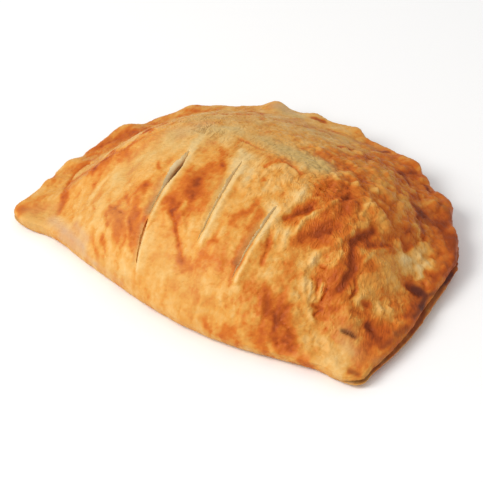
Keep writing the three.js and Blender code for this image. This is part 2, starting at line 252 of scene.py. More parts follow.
# Fields of small blisters: centre, spread, count, least distance, height, radius.
BLISTER_FIELDS = [
    ((42.0, 62.0), (34.0, 36.0), 300, 2.4, 0.65, 1.8),
    ((18.0, 40.0), (18.0, 14.0), 60, 2.4, 0.55, 1.6),
    ((24.0, 64.0), (26.0, 12.0), 150, 1.5, 0.35, 0.9),
    ((66.0, 30.0), (16.0, 22.0), 90, 1.8, 0.35, 1.3),
    ((53.0, 19.0), (12.0, 8.0), 40, 2.0, 0.35, 1.3),
    ((-32.0, 0.0), (14.0, 12.0), 40, 2.4, 0.45, 1.5),
]
FIELD_SEED = 5
FIELD_TRIES = 12
RADIUS_RANGE = (0.8, 1.5)
HEIGHT_RANGE = (0.5, 1.2)
BLISTER_POWER = 0.7

# Places without blisters: the deep folds and the smooth pillow by the right edge.
SMOOTH_PLACES = [
    ((43.0, 26.0), 17.0),
    ((61.0, 41.0), 9.0),
    ((70.0, 9.0), 10.0),
]
SMOOTHNESS = 0.8

# The rough back right begins along a slanted line: slant, start, reach.
ROUGH = (0.35, 18.0, 32.0)
# Noise of the relief: height on the smooth front, on the rough back right, size, seed.
WAVES = (0.45, 0.45, 15.0, 1)
LUMPS = (0.25, 1.3, 7.0, 2)
RIPPLES = (0.12, 0.22, 3.6, 5)
GRAIN = (0.07, 0.10, 1.7, 3)
STREAKS = (0.20, 0.04, 1.6, 4)
STREAK_LENGTH = np.array([1.0, 7.0, 7.0])
MEAN_RELIEF = (0.2, 0.85)
WARP_SIZE = 3.0
WARP_SEEDS = (21, 22)
BLISTER_WARP = 0.7

# Flaky steps: height, how many layers, their noise, its length, warp and how steep a step is.
FLAKE_STEP = 0.42
FLAKE_LAYERS = (10.0, 9.0, 6)
FLAKE_LENGTH = np.array([1.0, 2.2, 2.2])
FLAKE_WARP = 0.8
FLAKE_EDGE = 0.18

# Marks seen in the photograph: amount, full width in millimetres, and the x and y of each pixel of
# its 483 x 483 frame that the mark runs through. Its place on the form is worked out from these.
# Finer folds, pits and single blisters: the amount is a height in millimetres.
FOLDS = [
    # left crimp
    (-0.7, 1.5, 62, 206, 65, 188, 74, 173, 88, 163),
    (-0.6, 1.5, 88, 163, 104, 157, 120, 150, 130, 143),
    (-0.3, 0.7, 95, 147, 110, 141),
    # right edge
    (0.9, 1.5, 378, 306, 380, 312),
    (0.7, 1.3, 388, 309, 390, 311),
    (-0.8, 1.9, 367, 326, 372, 328),
    (-1, 1.9, 408, 286, 424, 297),
    (-0.6, 1.5, 398, 170, 408, 181, 416, 192, 425, 207),
    # by the first slit
    (-0.4, 0.7, 110, 206, 124, 214),
    (-0.4, 0.7, 106, 213, 108, 226, 101, 243),
    (-0.4, 0.8, 129, 219, 130, 236),
    (-0.4, 0.8, 139, 231, 138, 243),
    (-0.5, 1, 171, 208, 176, 228, 178, 246, 182, 262),
    (0.35, 1.1, 166, 213, 171, 230),
    (-0.3, 0.7, 155, 221, 147, 231),
    (-0.5, 2.5, 171, 160, 162, 180, 152, 200),
    # between the slits
    (0.4, 1.1, 182, 212, 185, 232),
    (-0.3, 0.9, 237, 137, 248, 142, 263, 150, 271, 152),
    (-0.4, 1.1, 270, 230, 268, 246, 262, 262),
    (-0.35, 1.1, 222, 221, 214, 240),
    (-0.3, 1.1, 240, 214, 249, 208),
    (-0.5, 2.5, 225, 184, 214, 205, 204, 228),
    (-0.5, 2, 262, 224, 248, 245, 238, 264),
    # front
    (-0.35, 1.1, 176, 276, 190, 269),
    (-0.35, 1.1, 168, 280, 165, 297),
    (0.35, 1.9, 181, 281, 178, 296),
    (-0.35, 0.9, 275, 312, 276, 345),
    (0.4, 1.5, 262, 300, 260, 318),
    (-0.3, 1.1, 260, 325, 252, 338),
    (0.35, 1.9, 240, 318, 236, 338),
    (-0.3, 1.1, 226, 323, 221, 335),
    (0.5, 3.5, 330, 345, 335, 368),
    # blistered back
    (0.7, 1.5, 333, 173, 336, 180),
    (0.7, 1.3, 347, 184, 347, 185),
    (0.7, 1.5, 355, 184, 355, 187),
    (0.7, 1.3, 374, 192, 375, 194),
    (0.6, 1.1, 337, 191, 336, 192),
    (0.6, 1.1, 347, 172, 347, 173),
    (0.5, 1.1, 333, 159, 333, 161),
    (0.6, 1.5, 379, 182, 381, 186),
    (0.5, 1.5, 323, 183, 325, 185),
    (-0.8, 1.5, 343, 198, 357, 199),
    (-0.5, 1, 265, 168, 280, 164, 292, 167, 300, 175),
    (0.5, 1.5, 262, 178, 272, 171, 285, 168),
    # right folds
    (0.9, 2.1, 275, 222, 286, 212, 297, 203, 306, 191),
    (-0.75, 1.5, 284, 219, 296, 214, 312, 208),
    (0.98, 1.7, 297, 231, 302, 221, 313, 214, 325, 209, 336, 201),
    (-1.1, 3.6, 303, 240, 318, 232, 336, 222, 345, 208),
    (1.05, 2.5, 312, 262, 320, 251, 333, 246, 343, 238, 354, 230),
    (0.45, 0.9, 338, 240, 342, 250, 339, 260, 334, 266),
    (0.38, 0.9, 316, 252, 311, 262),
    (-1.0, 3.2, 374, 233, 361, 237, 353, 244, 352, 258, 353, 270, 346, 281, 338, 290),
    (0.68, 1.9, 362, 265, 367, 255, 377, 250, 391, 250),
    (0.83, 5, 375, 262, 388, 272),
    (-0.3, 1.5, 366, 248, 378, 245, 392, 246),
    (0.68, 2, 311, 262, 303, 270, 303, 285, 307, 305, 314, 322),
    (-0.6, 0.8, 321, 267, 325, 269),
    (-0.6, 0.8, 313, 279, 320, 280),
    (-0.52, 0.8, 318, 283, 317, 291),
    (-0.68, 0.9, 327, 290, 320, 303),
    (0.45, 0.7, 322, 284, 319, 298),
    (0.45, 0.7, 311, 282, 309, 297),
    (0.45, 0.9, 333, 262, 325, 265),
    (0.6, 1.3, 349, 286, 350, 294),
    (-0.6, 1.1, 355, 281, 356, 291, 351, 298),
    (0.68, 1.9, 360, 297, 356, 304),
    (0.6, 1.3, 367, 203, 360, 216),
    (0.52, 1.3, 381, 217, 377, 222),
    (0.52, 1.3, 391, 201, 391, 202),
    (0.52, 1.4, 365, 221, 365, 224),
    (0.45, 1.1, 355, 228, 355, 229),
    (0.38, 1.5, 388, 231, 399, 232),
    (-0.45, 1.3, 358, 205, 357, 220),
    (0.3, 1.5, 277, 226, 273, 245),
    (0.3, 1.5, 286, 231, 283, 250),
    # right end
    (-0.8, 1.1, 314, 304, 320, 310, 315, 315),
    (-0.7, 1.5, 364, 305, 368, 306),
    (-0.6, 1.5, 350, 311, 364, 313),
    (0.6, 1.9, 345, 322, 358, 322),
    (-0.9, 1, 344, 332, 354, 336),
]

# ---- Colours ----
BAKE_STOPS = [
    (0.00, (216, 182, 124)),
    (0.22, (216, 169, 99)),
    (0.42, (208, 146, 65)),
    (0.60, (196, 108, 32)),
    (0.80, (176, 82, 20)),
    (1.00, (140, 59, 16)),
]
DOUGH_STOPS = [
    (0.0, (234, 214, 170)),
    (0.3, (228, 204, 160)),
    (0.6, (216, 172, 120)),
    (1.0, (150, 100, 72)),
]
FILLING_STOPS = [
    (0.35, (96, 62, 52)),
    (0.5, (128, 88, 74)),
    (0.7, (156, 112, 92)),
]
# The blond tone is partly a paler bake and partly painted sheen on the back slope and painted shade on
# the left of the cuts.
BLOND_SHEEN_AND_SHADE = (194, 160, 98)
RAW = (190, 152, 118)
# The burnt tone is also painted shade by the narrow end of the first slit.
BURN_AND_SHADE = (76, 36, 28)

# How baked the crust is, with waves and patches (amount, size, seed) and specks.
BAKE = 0.38
BAKE_WAVES = (0.08, 16.0, 9)
BAKE_PATCHES = (0.16, 4.5, 10)
PATCH_LENGTH = np.array([1.0, 1.7, 1.7])
BAKE_SPECKS = 0.07
# Browner on the right and towards the right end of the front, partly a darker bake and partly painted
# shade on the end turned from the lamp: slant, start, reach.
RIGHT = (0.3, 28.0, 24.0)
RIGHT_FRONT = 1.0
RIGHT_REACH = 14.0
RIGHT_BAKE_AND_SHADE = 0.26
LEAST_BAKE_RIGHT = 0.5
FRONT = (0.0, 30.0, 16.0)
LEAST_BAKE_FRONT = 0.36
# Painted light and shade from the relief: raised places are painted paler and hollows browner, partly
# painted shade and partly egg wash pooled in the hollows: amounts and the heights that count.
COARSE_LIGHT_AND_SHADE = 0.10
COARSE_HEIGHTS = (-1.6, 1.2)
FINE_LIGHT_AND_SHADE = (0.10, 0.16)
FINE_LEVEL = (0.2, 0.4)
# How the marks are bent and worn: sizes and seeds of the noise, and how far it moves them.
MARK_WARP = (0.5, 6.0, (6, 7, 8))
SMALL_WARP = (0.25, 2.2, (16, 17, 18))
MARK_STRENGTH = 1.2
MARK_WEAR = 0.3
MOTTLE_LOSS = 3.0
LEAST_MOTTLE = 0.35
MOST_BURN = 0.9
LIP_PALE = 0.42
LIP_LINE = 0.6
# The dark seam between the layers of the edge, by the share of its height.
SEAM_SHARES = (0.0, 0.22, 0.34, 0.46, 1.0)
SEAM_LEVELS = (0.0, 0.0, 1.0, 0.0, 0.0)
SEAM_BURN = 0.75
LOWER_BLOND = 0.6

# How much browner the crimped band is: place along the edge, amount, half width.
BAND_TINTS = [
    (272, 0.18, 42),
    (85, 0.18, 34),
]
# The rings, counted from the foot of the dome, over which that fades.
TINT_START = -6.0
TINT_RINGS = 14.0

# Marks of colour, given as the folds are: the amount is a share. The brown marks are browner patches
# and also painted shade in the valleys and pits of the folds and on the left of the cuts; the pale
# marks are paler patches and also painted highlights on the crests of the folds and the tops of
# blisters.
BROWN_AND_SHADE_MARKS = [
    # left crimp
    (0.2, 7, 66, 196, 76, 180),
    (0.1, 6, 86, 172, 104, 163, 122, 156),
    (0.08, 5, 136, 142, 160, 132),
    (0.12, 6, 95, 186, 132, 153, 178, 129),
    (0.12, 3.5, 40, 197, 50, 195),
    (0.2, 2.5, 70, 180, 77, 171, 84, 166),
    (0.1, 3.5, 66, 173, 80, 165, 92, 160),
    (0.26, 5, 93, 170, 101, 163, 113, 155),
    (0.22, 4.5, 110, 153, 124, 149, 131, 144),
    (0.16, 1.5, 95, 149, 110, 142),
    (0.14, 5, 119, 138, 128, 133, 138, 134),
    (0.18, 4.5, 148, 131, 165, 123, 180, 117, 193, 112),
    (0.16, 3, 135, 130, 152, 131),
    # back crimp
    (0.12, 5, 290, 122, 330, 134),
    (0.14, 4, 330, 129, 368, 146),
    (0.2, 3, 193, 111, 206, 112),
    (0.3, 2, 213, 114, 231, 114),
    (0.18, 3, 243, 112, 262, 114),
    (0.22, 2.5, 261, 113, 262, 121),
    (0.2, 2, 279, 122, 295, 125, 307, 127),
    (0.26, 2.5, 308, 118, 324, 121),
    (0.34, 1.9, 313, 119, 323, 122),
    (0.24, 1.9, 340, 146, 350, 149),
    (0.34, 2, 374, 149, 388, 151),
    (0.22, 2.5, 360, 154, 374, 157),
    # right edge
    (0.1, 5, 422, 210, 428, 220),
    (0.12, 5, 406, 212, 424, 238),
    (0.24, 3, 402, 172, 408, 181),
    (0.18, 2.5, 398, 170, 415, 172),
    (0.3, 1.9, 425, 185, 429, 191),
    (0.2, 3.5, 396, 188, 402, 198),
    (0.24, 4.5, 412, 204, 424, 216),
    (0.22, 3.5, 417, 212, 420, 226, 423, 237),
    (0.22, 2.5, 404, 250, 412, 247),
    (0.24, 3.5, 452, 236, 455, 262, 447, 282),
    (0.16, 3.5, 440, 222, 449, 244),
    (0.2, 3, 408, 196, 418, 198),
    (0.16, 3.5, 395, 238, 404, 244),
    (0.2, 2.5, 425, 272, 433, 275),
    (0.28, 5, 408, 285, 419, 293),
    (0.22, 5, 416, 305, 408, 316),
    (0.26, 3.5, 367, 324, 371, 331),
    (0.2, 5, 378, 338, 385, 346),
    (0.16, 6, 390, 330, 379, 322),
    (0.14, 3.5, 350, 371, 358, 373),
    (0.12, 4.5, 355, 358, 362, 366),
    (0.2, 2.5, 430, 283, 447, 268),
    # left end
    (0.12, 6, 20, 212, 50, 206),
    (0.16, 5, 22, 210, 32, 213),
    (0.2, 4, 61, 208, 63, 193, 68, 183),
    (0.16, 6, 104, 171, 88, 180),
    (0.14, 3.5, 78, 184, 79, 200),
    (0.12, 3, 58, 214, 66, 196),
    (0.2, 0.9, 93, 206, 95, 209),
    (0.16, 1.9, 97, 253, 93, 241),
    # by the first slit
    (0.14, 7, 118, 218, 138, 242),
    (0.14, 6, 130, 236, 150, 214),
    (0.16, 4, 109, 209, 118, 212),
    (0.16, 1.8, 106, 213, 108, 226),
    (0.14, 2, 108, 224, 101, 243),
    (0.16, 2.5, 103, 236, 105, 251),
    (0.12, 2.4, 104, 211, 103, 217),
    (0.16, 6.5, 113, 216, 115, 232),
    (0.16, 1.8, 110, 206, 124, 214),
    (0.16, 2.4, 129, 218, 131, 230),
    (0.2, 1.9, 126, 196, 128, 202),
    (0.16, 1.1, 128, 222, 125, 240, 121, 248),
    (0.3, 5.5, 146, 187, 141, 200, 136, 213),
    (0.14, 3, 146, 185, 138, 191),
    (0.24, 1.8, 146, 218, 142, 229, 139, 240, 134, 260),
    (0.14, 5, 160, 184, 155, 198, 149, 212),
    (0.2, 0.9, 155, 221, 148, 230),
    (0.22, 3.5, 158, 197, 150, 209),
    (0.1, 2, 130, 240, 133, 252),
    (0.12, 6, 168, 204, 173, 210, 178, 217),
    (0.14, 4.5, 171, 199, 178, 207),
    (0.2, 1.9, 173, 212, 176, 228, 178, 245),
    (0.28, 1.5, 158, 162, 160, 168),
    (0.14, 7.5, 128, 200, 122, 225),
    (0.12, 12, 166, 222, 160, 250),
    # between the slits
    (0.1, 8, 150, 262, 185, 262),
    (0.22, 10, 210, 171, 204, 184, 195, 196),
    (0.22, 9, 192, 178, 184, 190, 172, 205),
    (0.16, 3, 199, 179, 194, 193, 190, 208),
    (0.14, 3.5, 180, 216, 189, 211),
    (0.22, 3.5, 179, 246, 181, 262),
    (0.16, 2, 222, 148, 222, 166),
    (0.12, 5, 223, 165, 221, 188),
    (0.12, 6, 240, 181, 238, 205, 231, 221),
    (0.15, 3, 256, 198, 257, 206),
    (0.16, 2, 222, 222, 214, 240),
    (0.12, 3.5, 240, 215, 250, 210),
    (0.2, 4, 262, 212, 253, 228, 243, 246, 236, 262),
    (0.2, 2.5, 270, 230, 268, 246, 262, 262),
    (0.22, 9.5, 206, 260, 220, 254, 225, 266),
    (0.12, 3, 205, 245, 216, 242),
    (0.16, 1.9, 237, 137, 248, 142),
    (0.16, 1.9, 248, 142, 263, 150),
    (0.12, 6.5, 236, 215, 232, 200),
    # front
    (0.07, 14, 170, 280, 240, 330),
    (0.1, 1.9, 176, 275, 191, 268),
    (0.14, 5, 291, 240, 289, 264),
    (0.2, 11, 271, 304, 278, 346),
    (0.14, 6.5, 260, 332, 271, 326),
    (0.16, 4.5, 248, 326, 260, 333),
    (0.12, 1.9, 274, 312, 277, 345),
    (0.1, 5, 284, 297, 284, 312),
    (0.12, 3.5, 267, 290, 264, 314),
    (0.12, 4.5, 250, 334, 259, 343),
    (0.16, 4.5, 227, 327, 222, 335),
    (0.14, 3.5, 203, 318, 206, 326),
    (0.1, 3, 168, 280, 165, 296),
    (0.16, 4, 133, 283, 141, 280),
    (0.12, 4.5, 300, 361, 313, 368),
    (0.12, 6.5, 292, 340, 303, 354),
    (0.12, 6, 248, 286, 262, 292),
    (0.12, 8, 283, 320, 290, 345),
    # blistered back
    (0.18, 18, 350, 190, 384, 206),
    (0.12, 9, 400, 224, 410, 238),
    (0.22, 3.5, 368, 160, 380, 165),
    (0.16, 3.5, 350, 160, 368, 158),
    (0.22, 1.5, 265, 167, 280, 163, 293, 167, 301, 175),
    (0.14, 3.5, 268, 160, 290, 162),
    # right folds: mostly painted shade in their valleys and pits
    (0.09, 9, 372, 276, 388, 264),
    (0.28, 2.5, 286, 218, 297, 214, 310, 209),
    (0.26, 3.5, 300, 209, 314, 203),
    (0.16, 7, 303, 239, 318, 232, 335, 225),
    (0.2, 3.5, 319, 235, 327, 232),
    (0.24, 5, 344, 202, 353, 203),
    (0.14, 4.5, 340, 214, 350, 212),
    (0.28, 3.5, 374, 232, 362, 236, 354, 242),
    (0.34, 3.5, 353, 242, 352, 258, 354, 270),
    (0.28, 3.5, 350, 275, 342, 288),
    (0.26, 2, 355, 280, 356, 290, 351, 297),
    (0.2, 5, 335, 292, 328, 301),
    (0.16, 4.5, 329, 278, 340, 272),
    (0.14, 1.9, 321, 266, 325, 269),
    (0.14, 1.9, 312, 278, 320, 279),
    (0.12, 1.9, 318, 283, 317, 290),
    (0.24, 2, 327, 290, 320, 302),
    (0.1, 2, 384, 249, 394, 252),
    (0.12, 2.5, 368, 247, 391, 245),
    (0.18, 2, 378, 235, 373, 245),
    (0.1, 6, 352, 262, 372, 272),
    (0.1, 8, 340, 230, 322, 248),
    # right end
    (0.14, 5, 362, 352, 388, 336),
    (0.1, 6, 322, 326, 330, 338),
    (0.24, 2.5, 313, 305, 321, 309, 315, 315),
    (0.2, 2.5, 331, 309, 325, 318),
    (0.16, 3, 363, 303, 368, 306),
    (0.16, 3, 350, 311, 365, 313),
]
PALE_AND_HIGHLIGHT_MARKS = [
    # back crimp
    (0.2, 7, 190, 130, 240, 130),
    (0.14, 3.5, 283, 106, 300, 117),
    (0.12, 3.5, 330, 122, 333, 128),
    # right edge
    (0.1, 6, 412, 264, 424, 258),
    (0.04, 7.5, 345, 343, 341, 364),
    (0.34, 8, 404, 260, 418, 270),
    (0.2, 6, 417, 258, 421, 246),
    (0.16, 5, 427, 263, 431, 251),
    (0.14, 3.5, 378, 305, 379, 312),
    (0.08, 2.5, 389, 309, 387, 312),
    (0.1, 3.5, 420, 268, 432, 262),
    # left end
    (0.1, 3.5, 72, 222, 86, 214),
    (0.14, 4.5, 60, 222, 68, 226),
    # by the first slit
    (0.14, 2.5, 88, 205, 100, 186, 118, 166),
    (0.14, 3, 114, 176, 128, 166, 142, 156),
    (0.1, 2, 112, 196, 122, 181),
    (0.08, 11, 145, 252, 165, 268),
    # between the slits
    (0.12, 7, 200, 143, 218, 138),
    (0.06, 7, 222, 222, 232, 206),
    (0.14, 5, 236, 200, 248, 176),
    (0.26, 2.6, 190, 150, 203, 135),
    (0.3, 1.9, 197, 142, 190, 151),
    (0.26, 4, 231, 172, 244, 153),
    (0.2, 4.5, 241, 152, 250, 158),
    (0.22, 4.5, 228, 182, 223, 192),
    (0.26, 3.5, 273, 203, 270, 210),
    (0.2, 2, 265, 190, 270, 180),
    (0.12, 2, 181, 211, 186, 202),
    # front
    (0.05, 6.5, 331, 350, 336, 370),
    (0.1, 4.5, 215, 284, 218, 300),
    (0.1, 3.5, 205, 275, 207, 291),
    # blistered back: mostly painted highlights on the tops of blisters
    (0.08, 8, 290, 154, 312, 164),
    (0.1, 3, 297, 203, 305, 192),
    (0.12, 2.5, 347, 184, 355, 185),
    (0.16, 1.9, 333, 173, 336, 180),
    (0.12, 2, 333, 159, 333, 161),
    (0.12, 2, 374, 192, 375, 194),
    # right folds: mostly painted highlights on their crests
    (0.08, 9, 312, 262, 312, 300),
    (0.1, 6, 288, 232, 296, 246),
    (0.16, 7, 318, 252, 307, 268, 301, 284),
    (0.08, 9, 386, 274, 400, 294),
    (0.08, 5, 330, 205, 337, 220),
    (0.12, 3.5, 286, 231, 283, 250),
    (0.14, 1.5, 275, 240, 279, 228),
    (0.12, 2, 297, 229, 302, 221, 313, 215),
    (0.12, 3, 338, 241, 341, 252, 335, 264),
    (0.14, 2, 316, 252, 311, 262),
    (0.12, 1.5, 353, 232, 350, 240),
    (0.12, 1.9, 364, 262, 372, 252, 385, 251),
    (0.16, 3.5, 360, 297, 357, 302),
    (0.14, 1.5, 322, 284, 319, 298),
    (0.14, 1.5, 311, 282, 309, 297),
    (0.12, 2.5, 367, 203, 360, 216),
    (0.12, 2.5, 381, 217, 377, 222),
    (0.12, 2, 365, 221, 365, 224),
    # right end
    (0.04, 6, 325, 339, 322, 350),
]
# Blond marks: paler patches, painted sheen on the back slope, and painted shade on the left of the
# slits and the score.
BLOND_SHEEN_AND_SHADE_MARKS = [
    # back crimp
    (0.8, 7.5, 300, 118, 282, 109),
    (0.2, 8, 310, 130, 345, 138),
    (0.25, 7.5, 345, 138, 375, 146),
    (0.4, 8, 190, 120, 235, 118, 262, 124),
    (0.1, 9.5, 300, 130, 345, 140),
    # right edge
    (0.3, 9, 345, 335, 352, 355),
    (0.1, 6, 412, 268, 418, 258),
    (0.25, 3.5, 375, 362, 385, 360),
    # left end
    (0.35, 8, 30, 213, 52, 210),
    (0.3, 4.5, 30, 222, 42, 228),
    # by the first slit
    (0.2, 16, 92, 204, 118, 216),
    (0.2, 16, 150, 250, 192, 290),
    (0.6, 4, 163, 181, 157, 196, 150, 211),
    (0.45, 2, 143, 226, 139, 246, 133, 264),
    # between the slits
    (0.4, 8, 198, 144, 220, 138),
    (0.65, 9, 172, 134, 200, 130, 235, 130),
    (0.45, 12, 122, 174, 148, 154, 172, 144),
    (0.34, 6, 241, 155, 256, 160),
    (0.55, 3, 226, 180, 215, 202, 204, 228),
    (0.35, 3, 262, 222, 248, 243, 238, 262),
    # front
    (0.25, 4.5, 100, 262, 128, 282),
    # blistered back
    (0.4, 9, 312, 156, 328, 164),
    (0.3, 10, 282, 152, 310, 166),
    (0.5, 9.5, 262, 138, 290, 150, 318, 166),
    (0.35, 6, 322, 168, 335, 172),
    (0.3, 11, 262, 138, 290, 150, 318, 166),
]
RAW_MARKS = [
    # back crimp
    (0.45, 5, 276, 106, 290, 112),
    # right edge
    (0.2, 3.5, 345, 345, 352, 352),
    # left end
    (0.6, 4.5, 52, 220, 62, 228),
    (0.75, 5, 66, 232, 84, 247),
    (0.45, 3.5, 76, 224, 88, 238),
    (0.4, 2.5, 60, 238, 96, 264),
    # front
    (0.25, 8, 182, 132, 204, 124),
    (0.25, 2.5, 96, 264, 122, 284),
]
# Burnt and dark marks, and painted shade by the narrow end of the first slit.
BURN_AND_SHADE_MARKS = [
    # by the first slit: painted shade where it narrows
    (0.16, 4, 157, 197, 150, 210),
    # back crimp
    (0.25, 1.9, 316, 120, 322, 122),
    (0.25, 1.9, 377, 150, 386, 151),
    # right edge
    (0.45, 3, 351, 371, 357, 373),
    (0.85, 3.6, 415, 288, 426, 296, 422, 307),
    (0.35, 3, 440, 204, 450, 216),
    (0.55, 2.5, 421, 307, 414, 316),
    (0.6, 1.9, 453, 274, 441, 285, 431, 295),
    (0.45, 3, 396, 335, 407, 328),
    (0.45, 2.5, 384, 347, 392, 340),
    (0.28, 3, 368, 325, 371, 329),
    (0.26, 3.5, 402, 173, 407, 180),
    (0.42, 4.5, 416, 207, 427, 221),
    (0.3, 3.5, 417, 223, 422, 232),
    (0.25, 1.9, 426, 186, 429, 190),
    (0.35, 2, 444, 262, 448, 275),
    # right end
    (0.7, 1.9, 343, 331, 350, 333, 354, 337),
]

# ---- Materials: sizes in millimetres, stretch along x, y and z, amounts ----
EVEN = (1.0, 1.0, 1.0)
DETAIL = 3.0
FINE_DETAIL = 4.0
CRUST_NOISES = [
    (6.0, EVEN, 0.26),
    (1.6, EVEN, 0.18),
    (2.4, (1.0, 0.24, 0.24), 0.32),
]
CRUST_SCALES = [
    (4.5, (1.0, 0.45, 0.45), 0.12),
    (1.8, (1.0, 0.6, 0.6), 0.08),
]
SCALE_WARP = 0.6
SHINE_SIZE = 4.0
LEAST_ROUGHNESS = 0.34
ROUGHNESS_RANGE = 0.35
CRUST_SPECULAR = 0.16
# Bumps: sizes of the fine and the coarse ones, weight of the coarse ones; strength, height.
CRUST_BUMP_SIZES = (1.1, 3.0)
COARSE_BUMP = 2.0
CRUST_BUMP = (0.35, 0.35)
DOUGH_STREAKS = (1.2, (0.3, 0.3, 1.6), 0.5)
DOUGH_ROUGHNESS = 0.75
DOUGH_SPECULAR = 0.2
MINCE_SHADE_SIZE = 2.2
MINCE_BUMP_SIZE = 1.2
MINCE_BUMP = (0.5, 0.5)
MINCE_ROUGHNESS = 0.45
# Lumps of the mince in its own relief: height, size, seed.
MINCE_LUMPS = (0.9, 4.0, 12)
MINCE_GRAIN = (0.3, 1.5, 13)
MINCE_START = 3.0

# ---- Studio ----
IMAGE_SIDE = 483.0
PICTURE_MIDDLE = np.array([240.0, 240.0])
INWARD_SHARES = np.linspace(0.0, 0.2, 21)
PIXELS_PER_MM = 2.678
SENSOR = 36.0
CAMERA_TURN = 37.14
CAMERA_TILT = 38.79
CAMERA_DISTANCE = 1500.0
CAMERA_REACH = 100.0
VIEW_MIDDLE = (-0.05, -14.38, 6.2)
KEY_PLACE = (-0.25, -0.62, 0.7)
KEY_TARGET = (0.0, 0.0, 0.01)
KEY_SIZE = 0.5
KEY_ENERGY = 7.0
KEY_COLOUR = (1.0, 0.98, 0.95)
WORLD_COLOUR = (1.0, 1.0, 1.0, 1.0)
WORLD_STRENGTH = 0.68
FLOOR_HALF = 3.0
FLOOR_COLOUR = (0.9, 0.9, 0.9, 1.0)
FLOOR_ROUGHNESS = 0.9


def smooth(value):
    value = np.clip(value, 0.0, 1.0)
    return value * value * (3.0 - 2.0 * value)


def bell(distance, width):
    return np.exp(-((distance / width) ** 2))


def patch(distance, width):
    """A mark's strength across it, with a firmer edge than a bell's."""
    return np.exp(-((distance / width) ** 3))


def lerp(a, b, share):
    return a + (b - a) * share


def slanted(flat, slant, start, reach):
    """A share that grows from 0 to 1 across a slanted line."""
    return smooth((flat[..., 0] + slant * flat[..., 1] - start) / reach)


# ---- Outline and spokes ----
def running_length(points):
    steps = np.linalg.norm(np.roll(points, -1, axis=0) - points, axis=1)
    return np.concatenate([[0.0], np.cumsum(steps)])


def points_at(points, lengths, places):
    closed = np.vstack([points, points[:1]])
    return np.stack([np.interp(places, lengths, closed[:, i]) for i in range(2)], axis=1)


def fine_outline():
    angle = np.arange(0.0, math.pi, math.pi / OUTLINE_STEPS)
    across = np.cos(angle)
    power = 2.0 / ROUNDNESS
    crimp_x = HALF_LENGTH * np.sign(across) * np.abs(across) ** power
    crimp = np.stack([crimp_x, DEPTH * np.sin(angle) ** power], axis=1)
    share = np.arange(FOLD_STEP - 1.0, 1.0 - FOLD_STEP / 2, FOLD_STEP)
    reach = np.clip((share - SAG_SKEW * (1.0 - share**2)) / SAG_REACH, -1.0, 1.0)
    bulge = SAG * (0.5 + 0.5 * np.cos(math.pi * reach)) ** SAG_POWER
    ear = EAR_DIP * bell(np.abs(share) - EAR_PLACE, EAR_SPREAD)
    fold = np.stack([HALF_LENGTH * share, -bulge - ear], axis=1)
    return np.vstack([crimp, fold]), len(crimp)


def rounded(points, step, radius):
    reach = int(math.ceil(ROUNDING_REACH * radius / step))
    offsets = np.arange(-reach, reach + 1)
    weights = bell(offsets * step, radius * math.sqrt(2.0))
    total = sum(w * np.roll(points, -o, axis=0) for o, w in zip(offsets, weights))
    return total / weights.sum()


def make_spokes(count):
    points, crimp_end = fine_outline()
    fine_lengths = running_length(points)
    perimeter = fine_lengths[-1]
    crimp = fine_lengths[crimp_end - 1]
    fine_count = int(round(perimeter / FINE_STEP))
    step = perimeter / fine_count
    line = rounded(points_at(points, fine_lengths, np.arange(fine_count) * step), step, EAR_RADIUS)
    lengths = running_length(line)
    place = np.arange(count) * perimeter / count
    base = points_at(line, lengths, place * lengths[-1] / perimeter)
    along = np.roll(base, -1, axis=0) - np.roll(base, 1, axis=0)
    along /= np.linalg.norm(along, axis=1)[:, None]
    on_crimp = place <= crimp
    to_ear = np.minimum(np.minimum(place, np.abs(place - crimp)), perimeter - place)
    into_fold = np.where(on_crimp, 0.0, to_ear)
    out = np.where(on_crimp, -BASE_INSET * smooth(to_ear / INSET_REACH), 0.0)
    lift = np.zeros(count)
    for middle, outward, upward, width in LOBES:
        out += outward * bell(place - middle, width)
        lift += upward * bell(place - middle, width)
    ridge_x = RIDGE_HALF * np.clip(base[:, 0] / HALF_LENGTH, -1.0, 1.0)
    inward = np.stack([ridge_x, np.full(count, RIDGE_Y)], axis=1) - base
    reach = np.linalg.norm(inward, axis=1)
    back = np.clip(base[:, 1] / DEPTH, 0.0, 1.0) ** EDGE_POWER
    edge = lerp(EDGE_EAR, EDGE_BACK, back)
    groove = lerp(GROOVE, GROOVE_RIGHT, bell(place - RIGHT_PLACE, RIGHT_SPREAD))
    narrow = lerp(BAND, BAND_FOLD, smooth(into_fold / SHOULDER_REACH))
    return {
        "base": base,
        "outward": np.stack([along[:, 1], -along[:, 0]], axis=1),
        "inward": inward / reach[:, None],
        "reach": reach,
        "out": out,
        "into_fold": into_fold,
        "place": place,
        "band": narrow + BAND_EAR * bell(to_ear, BAND_EAR_REACH),
        "edge": edge + lift,
        "under": lerp(UNDER_EAR, UNDER_BACK, back),
        "step": STEP_RIGHT * bell(place - STEP_PLACE, STEP_SPREAD),
        "pressed": edge - groove * (1.0 - smooth(into_fold / EAR_BLEND)),
        "crest": CREST - CREST_DROP * (ridge_x / RIDGE_HALF) ** 2,
    }


# ---- Rings ----
def fold_share(spokes, blend):
    """How far each spoke has turned from crimp (0) to fold (1)."""
    return smooth((spokes["into_fold"] - FOLD_START) / blend)


def on_spokes(spokes, crimp, fold, blend):
    share = fold_share(spokes, blend)
    inset = lerp(crimp[0], fold[0], share)
    height = lerp(crimp[1], fold[1], share)
    fade = spokes["out"] * (1.0 - smooth(inset / BAND))
    place = spokes["base"] + spokes["inward"] * inset[:, None] + spokes["outward"] * fade[:, None]
    return np.column_stack([place, height])


def front_wall(spokes, angle, rim, foot, crest):
    inset = rim + (spokes["reach"] - rim) * (1.0 - np.cos(angle))
    return inset, foot + (crest - foot) * np.sin(angle) ** FRONT_POWER


def back_slope(spokes, share, rim, foot, crest):
    inset = rim + (spokes["reach"] - rim) * share
    return inset, foot + (crest - foot) * (1.0 - (1.0 - share) ** 2) ** BACK_POWER


